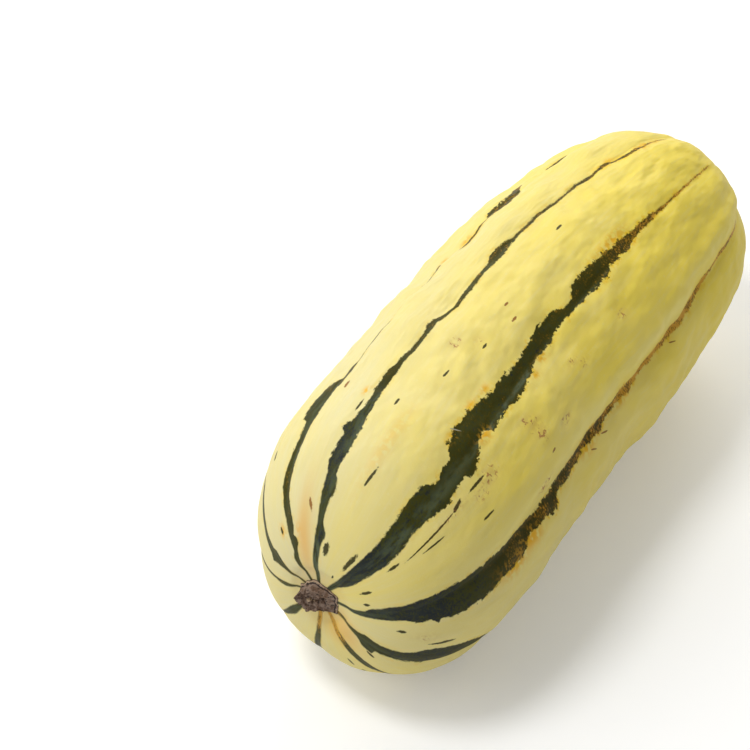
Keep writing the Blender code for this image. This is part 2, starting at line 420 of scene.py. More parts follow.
STRIPE_F = Stripe(
    edges=(
        (0.038, -80, -86), (0.056, -77.5, -84.5), (0.066, -76, -83.5), (0.069, -71.5, -83),
        (0.086, -71, -82), (0.093, -69.5, -82), (0.106, -70.5, -82), (0.111, -70.3, -82.5),
        (0.116, -70, -84), (0.126, -69.8, -84.5), (0.136, -70, -84), (0.141, -70.2, -87.5),
        (0.146, -70.3, -85), (0.156, -70.3, -86), (0.181, -71, -86.2), (0.207, -71, -85.5),
        (0.217, -71.5, -85), (0.232, -72, -84), (0.247, -72.5, -83.5), (0.272, -72.5, -84.5),
        (0.282, -72.8, -82), (0.292, -73.5, -79), (0.308, -75, -80.5), (0.327, -75.2, -80),
        (0.332, -75.2, -81), (0.340, -75.2, -82.2), (0.352, -75.2, -81.5), (0.357, -75, -79.5),
        (0.367, -74.8, -78.5), (0.382, -74.5, -79.5), (0.406, -73.5, -78), (0.426, -73, -77),
        (0.446, -72.3, -77.5), (0.465, -72.2, -77.5), (0.480, -73, -76.5), (0.495, -73.3, -76.3),
        (0.514, -73, -75.5), (0.529, -73, -77), (0.554, -73, -75.5), (0.603, -72.5, -75),
        (0.652, -73, -75.3), (0.702, -72.5, -75), (0.722, -71.5, -73.8), (0.752, -69, -71.5),
        (0.777, -67.5, -70), (0.801, -67.5, -70), (0.851, -67.6, -69.2),
    ),
    ages=(
        (0.035, 0.2), (0.086, 0.05), (0.156, 0.12), (0.207, 0.36), (0.267, 0.58), (0.337, 0.66),
        (0.426, 0.76), (0.505, 0.84), (0.534, 0.95), (0.603, 1.0), (0.722, 0.97), (0.801, 0.92),
    ),
    bloom=((0.035, 0.6), (0.076, 0.35), (0.106, 0.1), (0.207, 0.0)),
    halo=((0.056, 0.1), (0.207, 0.5), (0.257, 0.9), (0.505, 0.9), (0.801, 0.6)),
)
STRIPE_E = Stripe(
    edges=(
        (0.038, -28.5, -39), (0.056, -28, -42), (0.066, -28, -42), (0.081, -28, -41), (0.106, -28.5, -41),
        (0.131, -28.5, -40.5), (0.143, -28, -39), (0.151, -27.5, -38.5), (0.156, -27, -38),
        (0.181, -26.5, -38.5), (0.197, -26.5, -39.5), (0.204, -27.5, -39.8), (0.207, -29.5, -39.5),
        (0.217, -29.5, -38.5), (0.232, -28.5, -37.5), (0.244, -28, -37.3), (0.249, -25, -39),
        (0.257, -23.5, -39.5), (0.264, -23.5, -38), (0.269, -22, -36.5), (0.277, -22, -35.5),
        (0.282, -22.5, -33.5), (0.287, -22, -32), (0.303, -22, -31.5), (0.308, -22.5, -35),
        (0.317, -22.5, -34.5), (0.327, -23, -34), (0.342, -24, -34), (0.349, -25.5, -34),
        (0.357, -24, -34.5), (0.382, -25, -35), (0.386, -25, -34), (0.406, -25.5, -33.5),
        (0.411, -25, -34), (0.416, -25.5, -32), (0.426, -25, -31), (0.456, -23.5, -31.5),
        (0.465, -23.5, -31), (0.475, -23.5, -30), (0.485, -23, -29.8), (0.495, -24.5, -30),
        (0.505, -26.5, -30), (0.524, -26.5, -30.3), (0.529, -24.5, -30.5), (0.534, -22.8, -30.5),
        (0.544, -23.5, -30.5), (0.554, -23, -31), (0.578, -22.5, -31.5), (0.588, -22.8, -31.5),
        (0.593, -23.2, -29.5), (0.603, -23, -29.5), (0.623, -24.5, -29.5), (0.642, -25, -30),
        (0.652, -25.5, -29.5), (0.662, -25.5, -28.5), (0.702, -26, -28.5), (0.732, -27.5, -28.8),
        (0.752, -27.8, -29), (0.801, -28, -28.8), (0.851, -28, -28.5),
    ),
    ages=(
        (0.035, 0.15), (0.106, 0.05), (0.146, 0.25), (0.257, 0.4), (0.456, 0.42), (0.554, 0.5),
        (0.603, 0.62), (0.662, 0.75), (0.752, 0.85), (0.851, 0.95),
    ),
    bloom=(
        (0.035, 0.55), (0.066, 0.2), (0.106, 0.35), (0.136, 0.6), (0.207, 0.5), (0.257, 0.35),
        (0.308, 0.8), (0.416, 0.9), (0.446, 0.3), (0.505, 0.7), (0.583, 0.3), (0.662, 0.0),
    ),
    halo=(
        (0.106, 0.15), (0.247, 0.6), (0.308, 0.8), (0.456, 0.7), (0.603, 1.0), (0.702, 0.8), (0.851, 0.4),
    ),
    stem_half_width=8.0,
)
STRIPE_D = Stripe(
    edges=(
        (0.035, 14, 5), (0.056, 14, 6), (0.081, 13, 6), (0.091, 13, 4), (0.096, 13, 4.5),
        (0.106, 12.8, 8.5), (0.116, 13.5, 9), (0.126, 14, 8.8), (0.134, 14.3, 8.5), (0.139, 14.5, 7),
        (0.146, 14.8, 7.5), (0.154, 15, 8.5), (0.161, 15.5, 10.5), (0.171, 16.8, 10.5),
        (0.181, 17, 10.2), (0.197, 16.5, 10), (0.207, 16.5, 9.8), (0.212, 18.5, 10), (0.217, 18, 10.2),
        (0.222, 16, 10.3), (0.232, 15.3, 11), (0.257, 15, 11.8), (0.267, 15.8, 12.5),
        (0.272, 16.8, 12.7), (0.287, 17, 12.8), (0.303, 16.8, 12.5), (0.313, 15, 12.5),
        (0.317, 15.5, 12.8), (0.332, 15, 12.5), (0.357, 14, 12), (0.372, 14, 11.8), (0.382, 15, 11.5),
        (0.391, 14.5, 11.5), (0.406, 12.5, 10.8), (0.426, 11.8, 10), (0.456, 12.3, 9.8),
        (0.480, 12, 10), (0.505, 12.5, 9.8), (0.514, 14, 9.8), (0.524, 14, 9.5), (0.539, 13, 9.5),
        (0.554, 11.5, 9.5), (0.578, 10.8, 9.2), (0.603, 11, 9.7), (0.628, 10.2, 8.3),
        (0.652, 9.3, 7.8), (0.677, 9.5, 8), (0.702, 9.5, 7.5), (0.722, 9.3, 8), (0.742, 9, 7.5),
        (0.752, 7, 5.8), (0.772, 5.8, 3.5), (0.782, 5.2, 2.5), (0.791, 5, 3), (0.801, 4, 2.5),
        (0.851, 4, 3.4),
    ),
    ages=(
        (0.035, 0.35), (0.091, 0.1), (0.106, 0.35), (0.136, 0.25), (0.186, 0.12), (0.247, 0.25),
        (0.308, 0.44), (0.406, 0.56), (0.524, 0.54), (0.603, 0.60), (0.702, 0.68), (0.742, 0.75),
        (0.782, 0.6), (0.821, 0.9),
    ),
    bloom=(
        (0.035, 0.9), (0.081, 0.8), (0.096, 0.3), (0.136, 0.4), (0.176, 0.5), (0.257, 0.6), (0.308, 0.5),
        (0.367, 0.2), (0.505, 0.4), (0.603, 0.2),
    ),
    halo=((0.106, 0.2), (0.406, 0.3), (0.702, 0.6), (0.801, 0.8)),
)
STRIPE_C = Stripe(
    edges=(
        (0.036, 43, 37), (0.056, 45.5, 36), (0.064, 42, 35), (0.066, 40.5, 35), (0.076, 40.5, 31),
        (0.081, 41, 32), (0.086, 41.5, 35.5), (0.096, 41.8, 34), (0.106, 42, 35.5), (0.121, 43.5, 37.5),
        (0.131, 44, 38.8), (0.141, 45, 39), (0.156, 44.5, 39), (0.171, 43.5, 39), (0.181, 43.2, 38.5),
        (0.207, 43, 38.2), (0.222, 43.5, 38.5), (0.227, 46, 38.3), (0.247, 47, 39.5),
        (0.272, 46.3, 37.5), (0.277, 44.8, 36.5), (0.287, 43, 36.5), (0.292, 39.5, 36.3),
        (0.308, 40, 36), (0.313, 36.3, 35.7), (0.332, 36.2, 35.7), (0.347, 37, 35.8), (0.357, 37.2, 36),
        (0.382, 37, 36), (0.391, 35.9, 36.7), (0.446, 35.4, 36.4), (0.456, 37, 35), (0.475, 37.5, 36),
        (0.495, 38, 36.5), (0.505, 36, 37.2), (0.524, 33, 34), (0.534, 34, 31.5), (0.554, 32.5, 31),
        (0.578, 32.5, 31), (0.603, 37.5, 29.5), (0.623, 37, 29), (0.633, 37, 32), (0.652, 38.5, 33),
        (0.662, 41, 37), (0.677, 38.4, 39.4), (0.707, 35, 36), (0.717, 36, 33.5), (0.747, 36, 33.5),
    ),
    ages=(
        (0.040, 0.5), (0.076, 0.35), (0.126, 0.5), (0.156, 0.55), (0.186, 0.42), (0.247, 0.35),
        (0.297, 0.55), (0.357, 0.6), (0.475, 0.7), (0.554, 0.66), (0.623, 0.62), (0.732, 0.7),
    ),
    bloom=((0.035, 0.2), (0.106, 0.1), (0.227, 0.5), (0.277, 0.6), (0.308, 0.0)),
    halo=((0.056, 0.4), (0.308, 0.3), (0.505, 0.6), (0.702, 0.5)),
)
STRIPE_B = Stripe(
    edges=(
        (0.036, 74.5, 70), (0.056, 75, 69), (0.071, 78, 67), (0.078, 80.5, 66.5), (0.086, 76, 69),
        (0.106, 73.5, 68.5), (0.131, 72, 66.5), (0.146, 70.5, 66), (0.161, 69.5, 66), (0.176, 71, 67.5),
        (0.207, 73, 69.5), (0.257, 73, 70), (0.277, 74.5, 70.5), (0.308, 73, 70.5), (0.337, 72.2, 70.8),
        (0.367, 71.8, 71.2), (0.377, 70.8, 71.8), (0.446, 70.6, 71.6), (0.465, 72, 70.8), (0.524, 72.5, 70),
        (0.583, 71.8, 70.5), (0.642, 71.6, 70.8), (0.702, 71.4, 70.9), (0.851, 71.2, 70.8),
    ),
    ages=((0.040, 0.55), (0.076, 0.45), (0.156, 0.5), (0.308, 0.5), (0.603, 0.6), (0.901, 0.8)),
    bloom=((0.056, 0.3), (0.406, 0.3)),
    halo=((0.106, 0.3), (0.702, 0.6)),
)
STRIPE_A = Stripe(
    edges=(
        (0.035, 100, 96), (0.051, 102.5, 96), (0.061, 101, 96.5), (0.071, 99.5, 97), (0.106, 99.2, 97.5),
        (0.146, 100, 97.5), (0.207, 101, 97.5), (0.267, 101.5, 97.5), (0.308, 101, 98), (0.347, 100, 98.5),
        (0.406, 99.8, 99), (0.465, 101, 98.5), (0.524, 101.5, 98.8), (0.603, 101, 99.2),
        (0.682, 100.6, 99.6), (0.801, 100.3, 99.9),
    ),
    ages=((0.035, 0.6), (0.106, 0.5), (0.308, 0.4), (0.603, 0.6), (0.851, 0.9)),
    bloom=((0.056, 0.4), (0.505, 0.4)),
    halo=((0.106, 0.2), (0.702, 0.7)),
)
STRIPE_J = Stripe(
    edges=(
        (0.029, 140, 131), (0.051, 141, 130), (0.066, 138, 132), (0.086, 136, 133.5), (0.126, 136, 133),
        (0.166, 138, 132), (0.247, 138.5, 131.5), (0.308, 137, 131.5), (0.367, 136.5, 132),
        (0.426, 135.5, 132), (0.505, 134.5, 132.2), (0.583, 134.5, 132), (0.662, 134, 132.5),
        (0.752, 133.8, 132.9), (0.861, 133.7, 133.2),
    ),
    ages=((0.035, 0.35), (0.106, 0.4), (0.308, 0.3), (0.505, 0.5), (0.801, 0.85)),
    bloom=((0.056, 0.5), (0.505, 0.5)),
    halo=((0.106, 0.2), (0.702, 0.7)),
)
STRIPE_I = Stripe(
    edges=(
        (0.035, 178, 172), (0.051, 176.5, 170), (0.066, 174, 168), (0.106, 171, 165), (0.156, 169.5, 162),
        (0.207, 168.5, 159.5), (0.267, 168, 159), (0.327, 167.5, 160), (0.406, 166, 160),
        (0.485, 165.5, 160.5), (0.554, 165.5, 161), (0.623, 165, 162), (0.702, 165, 163.2),
        (0.782, 165.6, 164.3), (0.861, 166, 165.3),
    ),
    ages=(
        (0.035, 0.95), (0.056, 0.5), (0.126, 0.3), (0.308, 0.25), (0.505, 0.45), (0.702, 0.7), (0.851, 0.9),
    ),
    bloom=((0.106, 0.3), (0.505, 0.5)),
    halo=((0.106, 0.3), (0.702, 0.7)),
)
STRIPE_H = Stripe(
    edges=(
        (0.035, -149, -156), (0.056, -146, -154), (0.081, -143.5, -151), (0.106, -142.5, -149),
        (0.146, -145, -150), (0.207, -149, -153), (0.287, -153, -156.5), (0.367, -155.5, -158),
        (0.456, -158, -159.5), (0.505, -159.6, -158.8), (0.564, -158.5, -161), (0.642, -158.5, -161),
        (0.722, -158, -160), (0.801, -157.5, -158.5), (0.881, -157, -157.4),
    ),
    ages=((0.035, 1.0), (0.054, 0.6), (0.076, 0.4), (0.308, 0.5), (0.603, 0.6), (0.801, 0.9)),
    bloom=((0.106, 0.2), (0.505, 0.4)),
    halo=((0.056, 0.4), (0.702, 0.7)),
)
STRIPE_G = Stripe(
    edges=(
        (0.035, -116, -121), (0.051, -114, -123), (0.058, -110.5, -128), (0.071, -112, -128.5),
        (0.074, -112.5, -123), (0.096, -111.5, -121.5), (0.116, -109.5, -121.5), (0.124, -107, -121.5),
        (0.136, -106, -121.5), (0.143, -106, -120.5), (0.156, -107.2, -120), (0.171, -108, -119.5),
        (0.186, -109, -119.5), (0.207, -112, -121.5), (0.227, -115, -124), (0.257, -120, -127),
        (0.287, -123, -130), (0.347, -125, -132.5), (0.426, -126, -133.5), (0.505, -127.5, -133),
        (0.603, -129, -133), (0.702, -129, -131.5), (0.801, -128, -129.5),
    ),
    ages=(
        (0.035, 0.7), (0.056, 0.3), (0.106, 0.2), (0.156, 0.15), (0.207, 0.4), (0.308, 0.4), (0.505, 0.6),
        (0.702, 0.9),
    ),
    bloom=((0.106, 0.3), (0.505, 0.3)),
    halo=((0.106, 0.3), (0.702, 0.7)),
)
STRIPES = (
    STRIPE_F, STRIPE_E, STRIPE_D, STRIPE_C, STRIPE_B, STRIPE_A, STRIPE_J, STRIPE_I, STRIPE_H, STRIPE_G,
)


class FleckTint(Enum):
    """The kinds of small mark on the rind, as the shader's tint value."""

    GREEN = 0.0
    RUST = 0.5
    GREY = 1.0


@dataclass(frozen=True)
class Fleck:
    """A small dash on the rind, from one place and angle to another, with its width in millimetres."""

    start: tuple[float, float]
    end: tuple[float, float]
    width: float
    tint: FleckTint = FleckTint.GREEN


@dataclass(frozen=True)
class Patch:
    """A soft spot of colour: its place and angle, its half sizes in millimetres and its strength."""

    place: float
    angle: float
    half_length: float
    half_width: float
    strength: float = 1.0


FLECKS = (
    Fleck((0.068, -23.5), (0.091, -23.5), 1.5),
    Fleck((0.072, 0.0), (0.083, 0.3), 2.0),
    Fleck((0.161, -6.0), (0.181, -7.0), 0.9),
    Fleck((0.260, 3.3), (0.267, 3.3), 0.9),
    Fleck((0.322, -6.0), (0.332, -6.2), 0.8),
    Fleck((0.237, 17.5), (0.252, 17.6), 0.8),
    Fleck((0.590, -2.5), (0.597, -2.6), 0.9),
    Fleck((0.386, -11.5), (0.392, -11.5), 0.8),
    Fleck((0.111, -44.5), (0.124, -44.5), 0.9),
    Fleck((0.133, -46.0), (0.207, -43.5), 0.6),
    Fleck((0.207, -43.5), (0.219, -42.0), 1.2),
    Fleck((0.154, -48.0), (0.181, -48.2), 0.6),
    Fleck((0.237, -42.5), (0.260, -42.5), 0.9),
    Fleck((0.066, -53.5), (0.078, -53.5), 1.0),
    Fleck((0.224, -49.5), (0.231, -49.5), 0.8),
    Fleck((0.232, -55.0), (0.247, -55.0), 0.8),
    Fleck((0.096, -91.0), (0.102, -91.0), 1.0),
    Fleck((0.133, -101.5), (0.161, -101.5), 1.0),
    Fleck((0.064, -67.0), (0.069, -67.0), 0.9),
    Fleck((0.181, 57.0), (0.189, 57.0), 1.0),
    Fleck((0.090, 48.5), (0.096, 48.5), 1.0),
    Fleck((0.465, -79.5), (0.476, -81.0), 0.5, FleckTint.RUST),
    Fleck((0.440, -80.5), (0.447, -82.0), 0.5, FleckTint.RUST),
    Fleck((0.629, -77.0), (0.639, -78.5), 0.4, FleckTint.RUST),
    Fleck((0.044, -20.0), (0.048, -20.0), 0.6),
    Fleck((0.441, -14.0), (0.447, -14.0), 0.9, FleckTint.RUST),
    Fleck((0.453, -7.5), (0.458, -7.5), 0.8, FleckTint.RUST),
    Fleck((0.364, -60.0), (0.370, -60.0), 0.8, FleckTint.RUST),
    Fleck((0.116, 19.0), (0.126, 21.0), 1.0, FleckTint.RUST),
    Fleck((0.271, 32.0), (0.277, 32.0), 1.2, FleckTint.RUST),
    Fleck((0.270, -21.0), (0.277, -24.5), 0.35, FleckTint.GREY),
)
GOLD_PATCHES = (
    Patch(0.264, -23.5, 2.0, 1.2), Patch(0.297, -33.0, 3.0, 1.8), Patch(0.313, -21.5, 2.0, 1.0),
    Patch(0.342, -22.0, 1.6, 1.0), Patch(0.436, -32.5, 2.5, 1.2), Patch(0.411, -35.0, 1.5, 1.0),
    Patch(0.628, -22.5, 7.0, 1.6), Patch(0.657, -29.5, 1.6, 1.0), Patch(0.292, -81.0, 5.0, 3.0),
    Patch(0.257, -83.5, 6.0, 3.0), Patch(0.436, -78.0, 3.5, 2.0), Patch(0.519, -76.0, 4.0, 1.6),
    Patch(0.267, 19.5, 1.5, 1.0), Patch(0.747, 8.5, 2.0, 1.0), Patch(0.801, 3.5, 5.0, 1.5),
    Patch(0.091, 29.0, 2.0, 1.2, 0.6), Patch(0.093, 48.0, 1.8, 1.2), Patch(0.505, 37.5, 1.6, 1.2),
    Patch(0.544, 35.0, 3.0, 1.2), Patch(0.212, -4.5, 13.0, 2.0, 0.3),
)
RUST_PATCHES = (
    Patch(0.359, -45.8, 3.0, 2.2), Patch(0.363, -50.8, 2.2, 2.6),
    Patch(0.352, -42.5, 2.2, 1.6, 0.8),
    Patch(0.460, -43.0, 3.0, 1.4, 0.8), Patch(0.475, -47.0, 2.6, 1.4, 0.7),
    Patch(0.406, -56.0, 3.0, 1.6, 0.8), Patch(0.269, -44.0, 4.0, 2.6, 0.8),
    Patch(0.247, -47.0, 3.0, 2.0, 0.7), Patch(0.207, -44.0, 8.0, 1.0, 0.7),
    Patch(0.371, -1.2, 2.0, 2.0, 0.9), Patch(0.391, -8.0, 1.8, 1.6, 0.6),
    Patch(0.337, -68.0, 5.0, 1.8, 0.7), Patch(0.126, -96.0, 4.0, 1.6, 0.5),
    Patch(0.564, -46.0, 3.0, 1.8, 0.6),
)
BLUSH_PATCHES = (Patch(0.082, 24.0, 13.0, 2.6), Patch(0.035, -140.0, 6.0, 5.0, 0.9))
# Painted highlight: pale bands along the shoulder of the rib above the flank's furrow, where a sheen falls.
SHOULDER_SHEEN_PATCHES = (
    Patch(0.30, -67.0, 26.0, 2.6, 0.55), Patch(0.45, -66.5, 26.0, 2.6, 0.75),
    Patch(0.62, -66.0, 28.0, 2.6, 0.75), Patch(0.76, -61.0, 18.0, 2.2, 0.5),
)


class Wiring:
    """Adds shader nodes to one node tree and joins them as they are made."""

    def __init__(self, tree: bpy.types.NodeTree) -> None:
        """Start on an existing tree."""
        self.tree = tree

    def add(
        self,
        kind: str,
        settings: dict[str, object] | None = None,
        inputs: dict[int | str, Value] | None = None,
    ) -> bpy.types.Node:
        """Add one node.

        Args:
            kind: Blender's name of the node type.
            settings: values of the node's own settings.
            inputs: what each input holds, a plain value or another node's output.

        Returns:
            The new node.
        """
        node = self.tree.nodes.new(kind)
        for name, value in (settings or {}).items():
            setattr(node, name, value)
        self.feed(node, inputs or {})
        return node

    def feed(self, node: bpy.types.Node, inputs: dict[int | str, Value]) -> None:
        """Fill a node's inputs.

        Args:
            node: the node, such as a material's own shader.
            inputs: what each input holds, a plain value or another node's output.
        """
        for name, value in inputs.items():
            if isinstance(value, bpy.types.NodeSocket):
                self.tree.links.new(value, node.inputs[name])
            else:
                node.inputs[name].default_value = value

    def number(self, name: str) -> Socket:
        """Return the mesh's number attribute of that name."""
        return self.add("ShaderNodeAttribute", {"attribute_name": name}).outputs["Fac"]

    def vector(self, name: str) -> Socket:
        """Return the mesh's vector attribute of that name."""
        return self.add("ShaderNodeAttribute", {"attribute_name": name}).outputs["Vector"]

    def parts(self, vector: Socket) -> tuple[Socket, ...]:
        """Return the three parts of a vector."""
        return tuple(self.add("ShaderNodeSeparateXYZ", inputs={0: vector}).outputs)

    def math(self, operation: str, *values: Value) -> Socket:
        """Return the result of one sum on one to three values."""
        return self.add("ShaderNodeMath", {"operation": operation}, dict(enumerate(values))).outputs[0]

    def total(self, *values: Value) -> Socket:
        """Return all the values added together."""
        return functools.reduce(functools.partial(self.math, "ADD"), values)

    def times(self, *values: Value) -> Socket:
        """Return all the values multiplied together."""
        return functools.reduce(functools.partial(self.math, "MULTIPLY"), values)

    def clamp(self, value: Value, low: float, high: float) -> Socket:
        """Return the value held between low and high."""
        return self.math("MAXIMUM", self.math("MINIMUM", value, high), low)

    def mask(self, value: Value, low: float, high: float) -> Socket:
        """Turn a value into a mask, with an S-curve.

        Args:
            value: what the mask follows.
            low: the value at which the mask is 0, which may be the greater of the two.
            high: the value at which the mask is 1.

        Returns:
            The mask, from 0 to 1.
        """
        flip = low > high
        inputs = {"Value": value, "From Min": min(low, high), "From Max": max(low, high)}
        inputs |= {"To Min": float(flip), "To Max": float(not flip)}
        settings = {"interpolation_type": "SMOOTHSTEP"}
        return self.add("ShaderNodeMapRange", settings, inputs).outputs["Result"]

    def spread(self, value: Value, low: float, high: float) -> Socket:
        """Return a value from 0 to 1 spread over low to high, not clamped."""
        return self.math("MULTIPLY_ADD", value, high - low, low)

    def mix(self, factor: Value, first: Value, second: Value) -> Socket:
        """Return the first colour turned into the second by the factor."""
        inputs = {0: factor, 6: self.full(first), 7: self.full(second)}
        return self.add("ShaderNodeMix", {"data_type": "RGBA"}, inputs).outputs[2]

    @staticmethod
    def full(colour: Value) -> Value:
        """Return a plain colour with its fourth value, and anything else as it is."""
        return (*colour, 1.0) if isinstance(colour, tuple) and len(colour) == 3 else colour

    def drawn_out(self, vector: Socket, share: float) -> Socket:
        """Return the vector with its first part scaled, so that noise on it is drawn out along that."""
        inputs = {0: vector, 1: (share, 1.0, 1.0)}
        return self.add("ShaderNodeVectorMath", {"operation": "MULTIPLY"}, inputs).outputs[0]

    def noise(self, vector: Socket, size: float, seed: float = 0.0, detail: float = 2.0) -> Socket:
        """Return noise from 0 to 1, with features of about that size in the vector's units."""
        inputs = {"Vector": vector, "W": seed, "Scale": 1 / size, "Detail": detail}
        return self.add("ShaderNodeTexNoise", {"noise_dimensions": "4D"}, inputs).outputs[0]

    def swing(self, vector: Socket, size: float, seed: float, reach: float) -> Socket:
        """Return noise that swings about 0, to about reach on either side."""
        return self.spread(self.noise(vector, size, seed, detail=1.0), -1.5 * reach, 1.5 * reach)

    def patches(self, vector: Socket, size: float, seed: float, low: float, high: float) -> Socket:
        """Return a mask of soft patches of about that size, cut from noise between low and high."""
        return self.mask(self.noise(vector, size, seed), low, high)

    def cells(self, vector: Socket, size: float) -> bpy.types.Node:
        """Return a node of cells of about that size, with a distance and a random colour for each."""
        return self.add("ShaderNodeTexVoronoi", inputs={"Vector": vector, "Scale": 1 / size})

    def ramp(self, value: Value, stops: tuple[tuple[float, Colour], ...]) -> Socket:
        """Read a ramp of colours.

        Args:
            value: where the ramp is read, from 0 to 1.
            stops: the places on the ramp, from low to high, with their colours.

        Returns:
            The colour.
        """
        node = self.add("ShaderNodeValToRGB", inputs={0: value})
        elements = node.color_ramp.elements
        for place, _ in stops[len(elements):]:
            elements.new(place)
        for element, (place, colour) in zip(elements, stops):
            element.position = place
            element.color = (*colour, 1.0)
        return node.outputs[0]

    def bump(self, height: Socket, distance: float, strength: float) -> Socket:
        """Return the surface normal as tilted by a height that changes over the surface."""
        inputs = {"Strength": strength, "Distance": distance, "Height": height}
        return self.add("ShaderNodeBump", inputs=inputs).outputs[0]


def new_material(name: str) -> tuple[bpy.types.Material, Wiring, bpy.types.Node]:
    """Start a material.

    Args:
        name: the material's name.

    Returns:
        The material, the wiring of its nodes and its Principled shader.
    """
    material = bpy.data.materials.new(name)
    material.use_nodes = True
    return material, Wiring(material.node_tree), material.node_tree.nodes["Principled BSDF"]


class GrownSurface:
    """Node group of the fine uneven surface that rind and dry stem share."""

    NAME = "grown_surface"
    SOCKETS = (
        ("Place", "INPUT", "NodeSocketVector"),
        ("Grain size", "INPUT", "NodeSocketFloat"),
        ("Height", "OUTPUT", "NodeSocketFloat"),
        ("Mottle", "OUTPUT", "NodeSocketFloat"),
    )
    COARSE_SCALE = 0.22
    FINE_HEIGHT = 0.45
    PORE_RADIUS = 0.35
    PORE_DEPTH = 0.25

    @classmethod
    def tree(cls) -> bpy.types.NodeTree:
        """Return the node group, built on its first use.

        Returns:
            The group, which puts out a height and a soft mottle, both from about 0 to 1.
        """
        if cls.NAME in bpy.data.node_groups:
            return bpy.data.node_groups[cls.NAME]
        tree = bpy.data.node_groups.new(cls.NAME, "ShaderNodeTree")
        for name, way, kind in cls.SOCKETS:
            tree.interface.new_socket(name, in_out=way, socket_type=kind)
        wiring = Wiring(tree)
        start = wiring.add("NodeGroupInput")
        place = start.outputs["Place"]
        close = wiring.math("DIVIDE", 1.0, start.outputs["Grain size"])
        wide = wiring.math("MULTIPLY", close, cls.COARSE_SCALE)
        fine = wiring.add("ShaderNodeTexNoise", inputs={"Vector": place, "Scale": close}).outputs[0]
        coarse = wiring.add("ShaderNodeTexNoise", inputs={"Vector": place, "Scale": wide}).outputs[0]
        pores = wiring.add("ShaderNodeTexVoronoi", inputs={"Vector": place, "Scale": close})
        beside_pores = wiring.mask(pores.outputs["Distance"], 0.0, cls.PORE_RADIUS)
        pitted = wiring.math("MULTIPLY", beside_pores, cls.PORE_DEPTH)
        height = wiring.total(wiring.math("MULTIPLY", fine, cls.FINE_HEIGHT), coarse, pitted)
        wiring.add("NodeGroupOutput", inputs={"Height": height, "Mottle": coarse})
        return tree

    @classmethod
    def place(cls, wiring: Wiring, vector: Socket, size: float) -> bpy.types.Node:
        """Return a node of the group in a material, with its own grain size in the vector's units."""
        inputs = {"Place": vector, "Grain size": size}
        return wiring.add("ShaderNodeGroup", {"node_tree": cls.tree()}, inputs)


